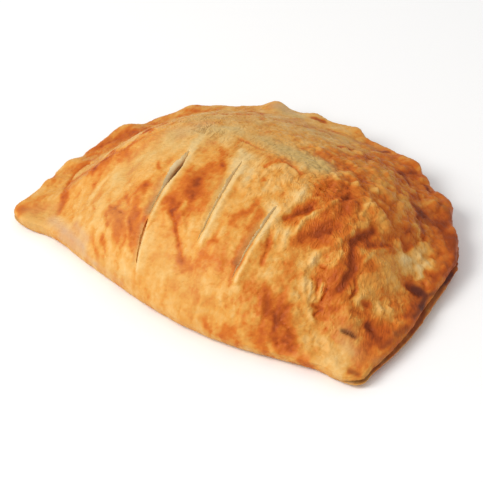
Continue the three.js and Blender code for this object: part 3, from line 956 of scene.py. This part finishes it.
def crust_rings(spokes):
    """Rings of the outer form, from the underside up to the ridge."""
    rings = []
    shares, insets = np.array(EDGE_SECTION).T
    for share in np.arange(UNDER_RINGS) / UNDER_RINGS:
        crimp = (lerp(FLAT_IN, insets[0], share), spokes["under"] * share**2)
        rings.append(on_spokes(spokes, crimp, (lerp(FLAT_IN, TUCK, share), 0.0), EAR_BLEND))
    for share in np.arange(EDGE_RINGS) / EDGE_RINGS:
        angle = share * math.pi / 2
        inset = np.interp(share, shares, insets)
        inset = inset + spokes["step"] * smooth((share - STEP_SHARE) / STEP_RISE)
        crimp = (inset, lerp(spokes["under"], spokes["edge"], share))
        fold = (TUCK * (1.0 - math.sin(angle)), FOLD_Z * (1.0 - math.cos(angle)))
        rings.append(on_spokes(spokes, crimp, fold, EAR_BLEND))
    for share in np.arange(BAND_RINGS) / BAND_RINGS:
        inset = lerp(EDGE_TOP_INSET + spokes["step"], spokes["band"], share)
        crimp = (inset, lerp(spokes["edge"], spokes["pressed"], smooth(share)))
        fold = front_wall(spokes, WALL_START * share, 0.0, FOLD_Z, spokes["crest"])
        rings.append(on_spokes(spokes, crimp, fold, DOME_BLEND))
    for share in RIDGE_MARGIN * np.arange(DOME_RINGS) / (DOME_RINGS - 1):
        crimp = back_slope(spokes, share, spokes["band"], spokes["pressed"], spokes["crest"])
        angle = lerp(WALL_START, math.pi / 2, share)
        fold = front_wall(spokes, angle, 0.0, FOLD_Z, spokes["crest"])
        rings.append(on_spokes(spokes, crimp, fold, DOME_BLEND))
    return np.array(rings)


def hollow_rings(spokes, gap):
    rings = []
    crest = spokes["crest"] - WALL - gap
    for share in RIDGE_MARGIN * np.arange(HOLLOW_RINGS) / (HOLLOW_RINGS - 1):
        rim = spokes["band"] + RIM_CRIMP + RIM_GAPS * gap
        crimp = back_slope(spokes, share, rim, FLOOR + gap, crest)
        fold = front_wall(spokes, share * math.pi / 2, RIM_FOLD + gap, FLOOR + gap, crest)
        rings.append(on_spokes(spokes, crimp, fold, DOME_BLEND))
    return np.array(rings)


def softened(rings, crease):
    """Rings with the crease between the band and the dome rounded off."""
    share = smooth(1.0 - np.abs(np.arange(len(rings)) - crease) / CREASE_RINGS)[:, None, None]
    for _ in range(CREASE_PASSES):
        middle = (np.roll(rings, 1, axis=0) + 2.0 * rings + np.roll(rings, -1, axis=0)) / 4.0
        rings = lerp(rings, middle, share)
    return rings


def ring_normals(rings):
    around = np.roll(rings, -1, axis=1) - np.roll(rings, 1, axis=1)
    normal = np.cross(around, np.gradient(rings, axis=0))
    return normal / np.maximum(np.linalg.norm(normal, axis=2), TINY)[:, :, None]


# ---- Relief ----
def segment_distance(points, start, end):
    """Distance of each point to the line from start to end, in as many dimensions as they have."""
    along = np.asarray(end, float) - start
    share = ((points - start) @ along) / max(float(along @ along), TINY)
    nearest = start + np.clip(share, 0.0, 1.0)[..., None] * along
    return np.linalg.norm(points - nearest, axis=-1)


def noise_field(points, amount, size, seed):
    """Smooth noise at each point: about as high as the amount, with features of the size."""
    flat = (points / size + seed * SEED_SHIFT).reshape(-1, 3).tolist()
    values = [noise.fractal(place, 1.0, 2.0, OCTAVES) for place in flat]
    return amount * np.array(values).reshape(points.shape[:-1])


def noise_fields(points, size, seeds):
    return np.stack([noise_field(points, 1.0, size, seed) for seed in seeds], axis=-1)


def uneven_noise(points, rough, front, back, size, seed):
    """Noise with one height on the smooth front and another on the rough back right."""
    return noise_field(points, lerp(front, back, rough), size, seed)


def large_blisters():
    state = BLISTER_SEED
    draws = []
    for _ in range(BLISTERS * 4):
        state = (state * BLISTER_FACTOR) % BLISTER_MODULUS
        draws.append(state / BLISTER_MODULUS)
    draws = np.array(draws).reshape(BLISTERS, 2, 2).sum(axis=2) - 1.0
    return np.array(BLISTER_CENTRE) + np.array(BLISTER_SPREAD) * draws


def small_blisters(random, centre, spread, count, gap):
    """Seeded places round a centre, no two closer than the gap."""
    places = []
    for _ in range(count * FIELD_TRIES):
        place = np.array(centre) + np.array(spread) * (random.rand(2) + random.rand(2) - 1.0)
        if all(np.hypot(*(place - other)) > gap for other in places):
            places.append(place)
        if len(places) == count:
            break
    return places


def coarse_relief(flat):
    """The relief of the CAD solid at places x, y."""
    height = np.zeros(flat.shape[:-1])
    for x1, y1, x2, y2, rise, width in WRINKLES:
        height += rise * bell(segment_distance(flat, (x1, y1), (x2, y2)), width)
    for (x1, y1), (x2, y2) in [slit[:2] for slit in SLITS] + [SCORE]:
        distance = segment_distance(flat, (x1 + LIP_OFFSET, y1), (x2 + LIP_OFFSET, y2))
        height += SLIT_LIP * bell(distance, LIP_WIDTH)
    for middle in large_blisters():
        height += BLISTER_HEIGHT * bell(np.linalg.norm(flat - middle, axis=-1), BLISTER_RADIUS)
    return height


def fine_relief(points):
    """Blisters, grain and creases that are finer than the CAD solid's."""
    flat = points[..., :2]
    random = np.random.RandomState(FIELD_SEED)
    warp = noise_fields(points, WARP_SIZE, WARP_SEEDS)
    bent = flat + BLISTER_WARP * warp
    bubbles = np.zeros(flat.shape[:-1])
    for centre, spread, count, gap, rise, radius in BLISTER_FIELDS:
        for place in small_blisters(random, centre, spread, count, gap):
            size = radius * random.uniform(*RADIUS_RANGE)
            lift = rise * random.uniform(*HEIGHT_RANGE)
            cap = np.clip(1.0 - (np.linalg.norm(bent - place, axis=-1) / size) ** 2, 0.0, 1.0)
            bubbles = np.maximum(bubbles, lift * cap**BLISTER_POWER)
    rough = slanted(flat, *ROUGH)
    lumps = np.abs(uneven_noise(points, rough, *LUMPS))
    smoother = np.ones(flat.shape[:-1])
    for middle, spread in SMOOTH_PLACES:
        smoother *= 1.0 - SMOOTHNESS * bell(np.linalg.norm(flat - middle, axis=-1), spread)
    height = (bubbles + lumps - lerp(*MEAN_RELIEF, rough)) * smoother
    for kind in (WAVES, RIPPLES, GRAIN):
        height += uneven_noise(points, rough, *kind)
    height += uneven_noise(points / STREAK_LENGTH, rough, *STREAKS)
    layers = noise_field(points / FLAKE_LENGTH, *FLAKE_LAYERS) + FLAKE_WARP * warp[..., 0]
    step = layers - np.floor(layers)
    return height + FLAKE_STEP * (smooth(step / FLAKE_EDGE) - step)


# ---- Marks placed on the form from the photograph's pixels ----
def camera_axes():
    """The camera's right, up and forward directions."""
    turn = math.radians(CAMERA_TURN)
    tilt = math.radians(CAMERA_TILT)
    flat_forward = np.array([-math.sin(turn), math.cos(turn), 0.0])
    right = np.array([math.cos(turn), math.sin(turn), 0.0])
    forward = flat_forward * math.cos(tilt) - np.array([0.0, 0.0, math.sin(tilt)])
    return right, np.cross(right, forward), forward


def form_place(form, pixel):
    """Where the camera's ray through a pixel meets the form; one just past its edge moves in."""
    right, up, forward = camera_axes()
    for share in INWARD_SHARES:
        across, down = lerp(np.array(pixel, float), PICTURE_MIDDLE, share) - IMAGE_SIDE / 2
        eye = np.array(VIEW_MIDDLE) - forward * CAMERA_DISTANCE - FORM_SHIFT
        ray = forward * CAMERA_DISTANCE + (right * across - up * down) / PIXELS_PER_MM
        found = form.ray_cast(Vector(eye), Vector(ray).normalized())
        if found[0] is not None:
            return np.array(found[0])
    raise RuntimeError(f"no part of the form lies near pixel {pixel}")


def path_distance(points, path):
    """Distance of each point to the nearest stretch of a path."""
    return np.min([segment_distance(points, start, end) for start, end in zip(path, path[1:])], axis=0)


def mark_field(points, marks, form, profile=bell):
    """Sum of soft marks on the form, each given as its amount, its full width and its pixels."""
    total = np.zeros(points.shape[:-1])
    for amount, width, *pixels in marks:
        path = [form_place(form, pixel) for pixel in np.reshape(pixels, (-1, 2))]
        total += amount * profile(path_distance(points, path), width / 2.0)
    return total


# ---- Meshes ----
def strip(ring, turn):
    """Triangles across a ring, from the right ear to the left one."""
    count = len(ring)
    triangles = []
    back = 0
    front = 0
    while back + front < count - 2:
        front_index = (count - front) % count
        if ring[back + 1][0] > ring[count - front - 1][0]:
            triangles.append((turn + back, turn + back + 1, turn + front_index))
            back += 1
        else:
            triangles.append((turn + back, turn + count - front - 1, turn + front_index))
            front += 1
    triangles.append((turn + back, turn + back + 1, turn + (count - front) % count))
    return triangles


def ring_quads(rings):
    """Four-sided faces between each ring and the next."""
    levels, count = rings.shape[:2]
    faces = []
    for first in range(0, (levels - 1) * count, count):
        for k in range(count):
            a = first + k
            b = first + (k + 1) % count
            faces.append((a, b, b + count, a + count))
    return faces


def ring_faces(rings):
    faces = []
    for a, b, c, d in ring_quads(rings):
        faces += [(a, b, c), (a, c, d)]
    faces += strip(rings[-1], (len(rings) - 1) * rings.shape[1])
    faces += [(a, c, b) for a, b, c in strip(rings[0], 0)]
    return faces


def to_frame(points):
    """Form millimetres into metres of the CAD frame."""
    return (points.reshape(-1, 3) + FORM_SHIFT) * MM


def linked(name, data):
    obj = bpy.data.objects.new(name, data)
    bpy.context.scene.collection.objects.link(obj)
    return obj


def make_object(name, points, faces):
    mesh = bpy.data.meshes.new(name)
    mesh.from_pydata(to_frame(points).tolist(), [], faces)
    mesh.validate()
    mesh.update()
    return linked(name, mesh)


def surface_heights(surface, lines):
    """Height of the form over each place of a line, from the points of its surface."""
    nearest = [np.argmin(((surface[:, :2] - place) ** 2).sum(axis=1)) for place in lines]
    return surface[nearest, 2]


def half_widths(share, peak, narrow, gape, spread):
    """Half widths along a cut: left and right at the surface, then left and right deep down."""
    rounding = np.sin(math.pi * np.clip(share, SLIT_END, 1.0 - SLIT_END)) ** SLIT_POWER
    wide = narrow * rounding
    open_by = gape * bell(share - peak, spread)
    surface = [side * (wide + open_by) for side in (LEFT_SHARE, 1.0 - LEFT_SHARE)]
    return surface + [DEEP_NARROW * wide + side * open_by for side in DEEP_GAPE]


def blade(start, end, floor, widths, surface, seed):
    """A standing blade with wavy sides: wide at the surface, narrow below it, most on the left."""
    steps = np.linspace(0.0, 1.0, BLADE_STEPS)
    start = np.array(start)
    end = np.array(end)
    along = (end - start) / np.linalg.norm(end - start)
    across = np.array([along[1], -along[0]])
    lines = start + steps[:, None] * (end - start)
    top = surface_heights(surface, lines)
    if floor is None:
        floor = top - SCORE_DEPTH
    left, right, left_deep, right_deep = half_widths(steps, *widths)
    rings = []
    for level in np.linspace(0.0, 1.0, BLADE_LEVELS):
        height = lerp(floor, top + BLADE_RISE, level)
        share = smooth((top + SLOPE_START - height) / SLOPE_DEPTH)
        places = np.column_stack([lines, height]) * WALL_WAVE_SQUASH
        sides = []
        for sign, wide, deep in ((1.0, left, left_deep), (-1.0, right, right_deep)):
            half = lerp(wide, deep, share)
            wave = noise_field(places, WALL_WAVE * np.minimum(half, 1.0), WALL_WAVE_SIZE, seed + sign)
            sides.append(np.column_stack([lines + across * (sign * (half + wave))[:, None], height]))
        rings.append(np.vstack([sides[0], sides[1][::-1]]))
    rings = np.array(rings)
    faces = ring_quads(rings)
    count = rings.shape[1]
    last = (len(rings) - 1) * count
    for k in range(BLADE_STEPS - 1):
        other = count - 1 - k
        faces.append((k, other, other - 1, k + 1))
        faces.append((last + k, last + k + 1, last + other - 1, last + other))
    return make_object("blade", rings, faces)


def subtract(obj, cutter):
    modifier = obj.modifiers.new("cut", "BOOLEAN")
    modifier.operation = "DIFFERENCE"
    modifier.solver = "MANIFOLD"
    modifier.object = cutter
    graph = bpy.context.evaluated_depsgraph_get()
    mesh = bpy.data.meshes.new_from_object(obj.evaluated_get(graph))
    obj.modifiers.clear()
    old = obj.data
    obj.data = mesh
    bpy.data.meshes.remove(old)
    bpy.data.objects.remove(cutter)
    if not len(mesh.polygons):
        raise RuntimeError("a cut of the crust left nothing")


# ---- Materials ----
def linear(red, green, blue):
    """A colour given in display values of 0 to 255, as linear light."""
    values = np.array([red, green, blue]) / 255.0
    values = np.where(values <= 0.04045, values / 12.92, ((values + 0.055) / 1.055) ** 2.4)
    return (*values.tolist(), 1.0)


class Nodes:
    """A short way to write a material's nodes."""

    def __init__(self, name):
        self.material = bpy.data.materials.new(name)
        self.material.use_nodes = True
        self.tree = self.material.node_tree
        self.shader = self.tree.nodes["Principled BSDF"]

    def put(self, socket, value):
        """Link an output to a socket, or set the socket's own value."""
        if isinstance(value, bpy.types.NodeSocket):
            self.tree.links.new(value, socket)
        else:
            socket.default_value = value

    def surface(self, **values):
        """Set the shader's sockets, named with _ for each space."""
        for name, value in values.items():
            self.put(self.shader.inputs[name.replace("_", " ")], value)

    def make(self, kind, inputs, **settings):
        node = self.tree.nodes.new(kind)
        for key, value in settings.items():
            setattr(node, key, value)
        for key, value in inputs.items():
            self.put(node.inputs[key], value)
        return node

    def attribute(self, name):
        return self.make("ShaderNodeAttribute", {}, attribute_name=name).outputs["Fac"]

    def place(self):
        return self.make("ShaderNodeTexCoord", {}).outputs["Object"]

    def stretched(self, place, stretch):
        return self.make("ShaderNodeMapping", {"Vector": place, "Scale": stretch}).outputs["Vector"]

    def noise(self, size, detail=DETAIL, stretch=EVEN):
        place = self.stretched(self.place(), stretch)
        inputs = {"Vector": place, "Scale": 1.0 / (size * MM), "Detail": detail}
        return self.make("ShaderNodeTexNoise", inputs).outputs["Fac"]

    def scales(self, size, stretch):
        """Irregular scales of the given size, each with a value of its own."""
        place = self.place()
        inputs = {"Vector": place, "Scale": 1.0 / (SCALE_WARP * size * MM), "Detail": DETAIL}
        colour = self.make("ShaderNodeTexNoise", inputs).outputs["Color"]
        shift = self.vector("SUBTRACT", {0: colour, 1: (0.5, 0.5, 0.5)})
        shift = self.vector("SCALE", {0: shift, "Scale": size * MM})
        place = self.stretched(self.vector("ADD", {0: place, 1: shift}), stretch)
        cells = self.make("ShaderNodeTexVoronoi", {"Vector": place, "Scale": 1.0 / (size * MM)})
        return self.make("ShaderNodeSeparateColor", {"Color": cells.outputs["Color"]}).outputs[0]

    def vector(self, operation, inputs):
        return self.make("ShaderNodeVectorMath", inputs, operation=operation).outputs[0]

    def math(self, operation, a, b):
        return self.make("ShaderNodeMath", {0: a, 1: b}, operation=operation).outputs["Value"]

    def add_noise(self, value, noise_value, amount):
        centred = self.math("SUBTRACT", noise_value, 0.5)
        return self.math("ADD", value, self.math("MULTIPLY", centred, amount))

    def ramp(self, value, stops):
        node = self.make("ShaderNodeValToRGB", {"Fac": value})
        elements = node.color_ramp.elements
        while len(elements) < len(stops):
            elements.new(0.5)
        for element, (position, colour) in zip(elements, stops):
            element.position = position
            element.color = linear(*colour)
        return node.outputs["Color"]

    def mix(self, share, first, second):
        inputs = {0: share, 6: first, 7: second}
        return self.make("ShaderNodeMix", inputs, data_type="RGBA").outputs[2]

    def bump(self, height, strength, distance):
        inputs = {"Height": height, "Strength": strength, "Distance": distance * MM}
        self.surface(Normal=self.make("ShaderNodeBump", inputs).outputs["Normal"])


def crust_material():
    nodes = Nodes("crust")
    mottle = 0.0
    for size, stretch, amount in CRUST_NOISES:
        mottle = nodes.add_noise(mottle, nodes.noise(size, stretch=stretch), amount)
    for size, stretch, amount in CRUST_SCALES:
        mottle = nodes.add_noise(mottle, nodes.scales(size, stretch), amount)
    mottle = nodes.math("MULTIPLY", mottle, nodes.attribute("mottle"))
    # The crust's colour: its bake with painted shade and highlights, then the blond tone with painted
    # sheen and shade, the raw tone, and the burnt tone with painted shade by a cut.
    colour = nodes.ramp(nodes.math("ADD", nodes.attribute("bake_and_shade"), mottle), BAKE_STOPS)
    for name, tone in (("blond_sheen_and_shade", BLOND_SHEEN_AND_SHADE), ("raw", RAW), ("burn_and_shade", BURN_AND_SHADE)):
        colour = nodes.mix(nodes.attribute(name), colour, linear(*tone))
    rough = nodes.math("MULTIPLY", nodes.noise(SHINE_SIZE), ROUGHNESS_RANGE)
    rough = nodes.math("ADD", rough, LEAST_ROUGHNESS)
    nodes.surface(Base_Color=colour, Roughness=rough, Specular_IOR_Level=CRUST_SPECULAR)
    fine_size, coarse_size = CRUST_BUMP_SIZES
    coarse = nodes.math("MULTIPLY", nodes.noise(coarse_size), COARSE_BUMP)
    nodes.bump(nodes.math("ADD", nodes.noise(fine_size, FINE_DETAIL), coarse), *CRUST_BUMP)
    return nodes.material


def dough_material():
    """The cut faces of the slits and the inside of the crust."""
    nodes = Nodes("cut dough")
    size, stretch, amount = DOUGH_STREAKS
    depth = nodes.add_noise(nodes.attribute("depth"), nodes.noise(size, stretch=stretch), amount)
    colour = nodes.ramp(depth, DOUGH_STOPS)
    nodes.surface(Base_Color=colour, Roughness=DOUGH_ROUGHNESS, Specular_IOR_Level=DOUGH_SPECULAR)
    return nodes.material


def filling_material():
    nodes = Nodes("filling")
    colour = nodes.ramp(nodes.noise(MINCE_SHADE_SIZE, FINE_DETAIL), FILLING_STOPS)
    nodes.surface(Base_Color=colour, Roughness=MINCE_ROUGHNESS)
    nodes.bump(nodes.noise(MINCE_BUMP_SIZE), *MINCE_BUMP)
    return nodes.material


# ---- Pieces ----
def cut_crust(crust, surface):
    """Take the hollow, the slits and the score out of the crust."""
    hollow = hollow_rings(make_spokes(HOLLOW_SPOKES), 0.0)
    subtract(crust, make_object("hollow", hollow, ring_faces(hollow)))
    for i, (start, end, floor, widths) in enumerate(SLITS):
        subtract(crust, blade(start, end, floor, widths, surface, SLIT_SEED + i))
    subtract(crust, blade(*SCORE, None, SCORE_WIDTHS, surface, SCORE_SEED))


def material_index(polygon, outer):
    """0 on the baked outside, 1 on the cut and inner faces."""
    depth = outer.find_nearest(polygon.center)[3] / MM
    place = np.array(polygon.center)[:2] / MM - FORM_SHIFT[:2]
    scored = depth < SCORE_REACH and segment_distance(place, *SCORE_BAKED) < SCORE_MARGIN
    return 0 if depth < SKIN_DEPTH or scored else 1


def make_crust():
    spokes = make_spokes(SPOKES)
    base = softened(crust_rings(spokes), FIRST_DOME)
    form = BVHTree.FromPolygons(base.reshape(-1, 3).tolist(), ring_faces(base))
    level = np.arange(len(base))
    top = smooth((level - FIRST_TOP) / TOP_FADE)[:, None]
    edge = smooth((level - UNDER_RINGS) / EDGE_FADE)[:, None]
    coarse = (coarse_relief(base[..., :2]) + mark_field(base, FOLDS, form)) * top
    fine = fine_relief(base) * edge * lerp(EDGE_RELIEF, 1.0, top)
    rings = base + ring_normals(base) * (coarse + fine)[:, :, None]
    rings[..., 2] = np.maximum(rings[..., 2], 0.0)
    rings[0, :, 2] = 0.0

    crust = make_object("crust_baked", rings, ring_faces(rings))
    outer = BVHTree.FromObject(crust, bpy.context.evaluated_depsgraph_get())
    tree = KDTree(rings.shape[0] * rings.shape[1])
    for i, place in enumerate(to_frame(rings).tolist()):
        tree.insert(place, i)
    tree.balance()
    cut_crust(crust, base[FIRST_TOP:].reshape(-1, 3))

    mesh = crust.data
    mesh.materials.clear()
    mesh.materials.append(crust_material())
    mesh.materials.append(dough_material())
    indices = [material_index(polygon, outer) for polygon in mesh.polygons]
    mesh.polygons.foreach_set("material_index", np.array(indices, np.int32))
    mesh.polygons.foreach_set("use_smooth", np.ones(len(indices), bool))
    mesh.set_sharp_from_angle(angle=math.radians(SHARP_ANGLE))

    looks = crust_looks(base, spokes, coarse, fine, form)
    nearest = np.array([tree.find(vertex.co)[1] for vertex in mesh.vertices])
    values = {name: look.reshape(-1)[nearest] for name, look in looks.items()}
    depths = np.array([outer.find_nearest(vertex.co)[3] for vertex in mesh.vertices])
    values["depth"] = np.clip(depths / (WALL * MM), 0.0, 1.0)
    for name, numbers in values.items():
        attribute = mesh.attributes.new(name, "FLOAT", "POINT")
        attribute.data.foreach_set("value", np.asarray(numbers, np.float32))
    mesh.update()
    return crust


def crust_looks(base, spokes, coarse, fine, form):
    """How brown, blond, raw or burnt each point of the rings is, with painted shade in hollows,
    valleys, beside the cuts and on the right end, painted highlights on raised places, and painted
    sheen on the back slope.
    """
    reach, size, seeds = MARK_WARP
    warp = noise_fields(base, size, seeds)
    small_reach, size, seeds = SMALL_WARP
    small_warp = noise_fields(base, size, seeds)
    bent = base + reach * warp + small_reach * small_warp
    right = slanted(base, *RIGHT) * smooth((base[..., 1] + RIGHT_FRONT) / RIGHT_REACH)
    # Browner on the right: partly a darker bake, partly painted shade on the right end.
    bake_and_shade = BAKE + RIGHT_BAKE_AND_SHADE * right + BAKE_SPECKS * small_warp[..., 0]
    bake_and_shade += noise_field(base, *BAKE_WAVES) + noise_field(base / PATCH_LENGTH, *BAKE_PATCHES)
    # Browner patches, and painted shade in the valleys, the pits and beside the cuts.
    browner_and_shaded = mark_field(bent, BROWN_AND_SHADE_MARKS, form)
    strength = MARK_STRENGTH * (1.0 + MARK_WEAR * (small_warp[..., 1] + warp[..., 1]))
    bake_and_shade += strength * browner_and_shaded
    # Painted shade in the hollows of the relief and painted light on its raised places.
    bake_and_shade -= COARSE_LIGHT_AND_SHADE * np.clip(coarse, *COARSE_HEIGHTS)
    bake_and_shade -= lerp(*FINE_LIGHT_AND_SHADE, right) * np.clip(fine + lerp(*FINE_LEVEL, right), -1.0, 1.0)
    least = np.maximum(LEAST_BAKE_RIGHT * right, LEAST_BAKE_FRONT * slanted(base, *FRONT))
    # Paler patches, and painted highlights on the crests of folds and the tops of blisters.
    bake_and_shade = np.maximum(bake_and_shade, least) - strength * mark_field(bent, PALE_AND_HIGHLIGHT_MARKS, form)

    crimp = (1.0 - fold_share(spokes, EAR_BLEND))[None, :]
    tint = sum(amount * bell(spokes["place"] - place, width) for place, amount, width in BAND_TINTS)
    past_band = np.arange(len(base)) - FIRST_DOME
    bake_and_shade += tint * crimp * (1.0 - smooth((past_band - TINT_START) / TINT_RINGS))[:, None]
    for start, end in LIPS:
        bake_and_shade -= LIP_PALE * bell(segment_distance(base[..., :2], start, end), LIP_LINE)

    # The blond tone: paler patches, painted sheen, and painted shade beside the cuts.
    blond_sheen_and_shade = mark_field(bent, BLOND_SHEEN_AND_SHADE_MARKS, form)
    blond_sheen_and_shade[UNDER_RINGS : UNDER_RINGS + LOWER_RINGS] += LOWER_BLOND * spokes["step"] / STEP_RIGHT
    # Burnt marks, one of them painted shade by the first slit, and the dark seam of the edge.
    burn_and_shade = mark_field(bent, BURN_AND_SHADE_MARKS, form, patch)
    seam = np.interp(np.linspace(0.0, 1.0, EDGE_RINGS), SEAM_SHARES, SEAM_LEVELS)
    burn_and_shade[UNDER_RINGS:FIRST_TOP] += SEAM_BURN * seam[:, None] * crimp
    return {
        "bake_and_shade": np.clip(bake_and_shade, 0.0, 1.0),
        "mottle": np.clip(1.0 - MOTTLE_LOSS * browner_and_shaded, LEAST_MOTTLE, 1.0),
        "blond_sheen_and_shade": np.clip(blond_sheen_and_shade, 0.0, 1.0),
        "raw": np.clip(mark_field(bent, RAW_MARKS, form), 0.0, 1.0),
        "burn_and_shade": np.clip(burn_and_shade, 0.0, MOST_BURN),
    }


def make_filling():
    rings = hollow_rings(make_spokes(FILLING_SPOKES), GAP)
    lumps = np.abs(noise_field(rings, *MINCE_LUMPS)) + np.abs(noise_field(rings, *MINCE_GRAIN))
    lumps *= smooth(np.arange(len(rings)) / MINCE_START)[:, None]
    rings = rings - ring_normals(rings) * lumps[:, :, None]
    filling = make_object("filling_minced", rings, ring_faces(rings))
    filling.data.polygons.foreach_set("use_smooth", np.ones(len(filling.data.polygons), bool))
    filling.data.materials.append(filling_material())
    return filling


def place_piece(piece, node):
    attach(piece, "root")
    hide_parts(node)


# ---- Studio ----
def make_floor():
    mesh = bpy.data.meshes.new("floor")
    corners = [(x * FLOOR_HALF, y * FLOOR_HALF, 0.0) for x, y in ((-1, -1), (1, -1), (1, 1), (-1, 1))]
    mesh.from_pydata(corners, [], [(0, 1, 2, 3)])
    nodes = Nodes("floor")
    nodes.surface(Base_Color=FLOOR_COLOUR, Roughness=FLOOR_ROUGHNESS)
    mesh.materials.append(nodes.material)
    return linked("floor", mesh)


def make_light():
    data = bpy.data.lights.new("key", "AREA")
    data.size = KEY_SIZE
    data.energy = KEY_ENERGY
    data.color = KEY_COLOUR
    lamp = linked("key", data)
    lamp.location = KEY_PLACE
    towards = Vector(KEY_TARGET) - Vector(KEY_PLACE)
    lamp.rotation_euler = towards.to_track_quat("-Z", "Y").to_euler()


def make_world():
    world = bpy.data.worlds.new("studio")
    world.use_nodes = True
    background = world.node_tree.nodes["Background"]
    background.inputs["Color"].default_value = WORLD_COLOUR
    background.inputs["Strength"].default_value = WORLD_STRENGTH
    bpy.context.scene.world = world


def make_camera():
    right, up, forward = [Vector(axis) for axis in camera_axes()]
    data = bpy.data.cameras.new("camera")
    data.sensor_fit = "HORIZONTAL"
    data.sensor_width = SENSOR
    data.lens = SENSOR * CAMERA_DISTANCE / (IMAGE_SIDE / PIXELS_PER_MM)
    data.clip_end = CAMERA_REACH
    camera = linked("camera", data)
    pose = Matrix((right, up, -forward)).transposed().to_4x4()
    pose.translation = (Vector(VIEW_MIDDLE) - forward * CAMERA_DISTANCE) * MM
    camera.matrix_world = pose
    bpy.context.scene.camera = camera


place_piece(make_crust(), "crust")
place_piece(make_filling(), "filling")
make_floor()
make_light()
make_world()
make_camera()
bpy.context.scene.view_settings.view_transform = "Standard"
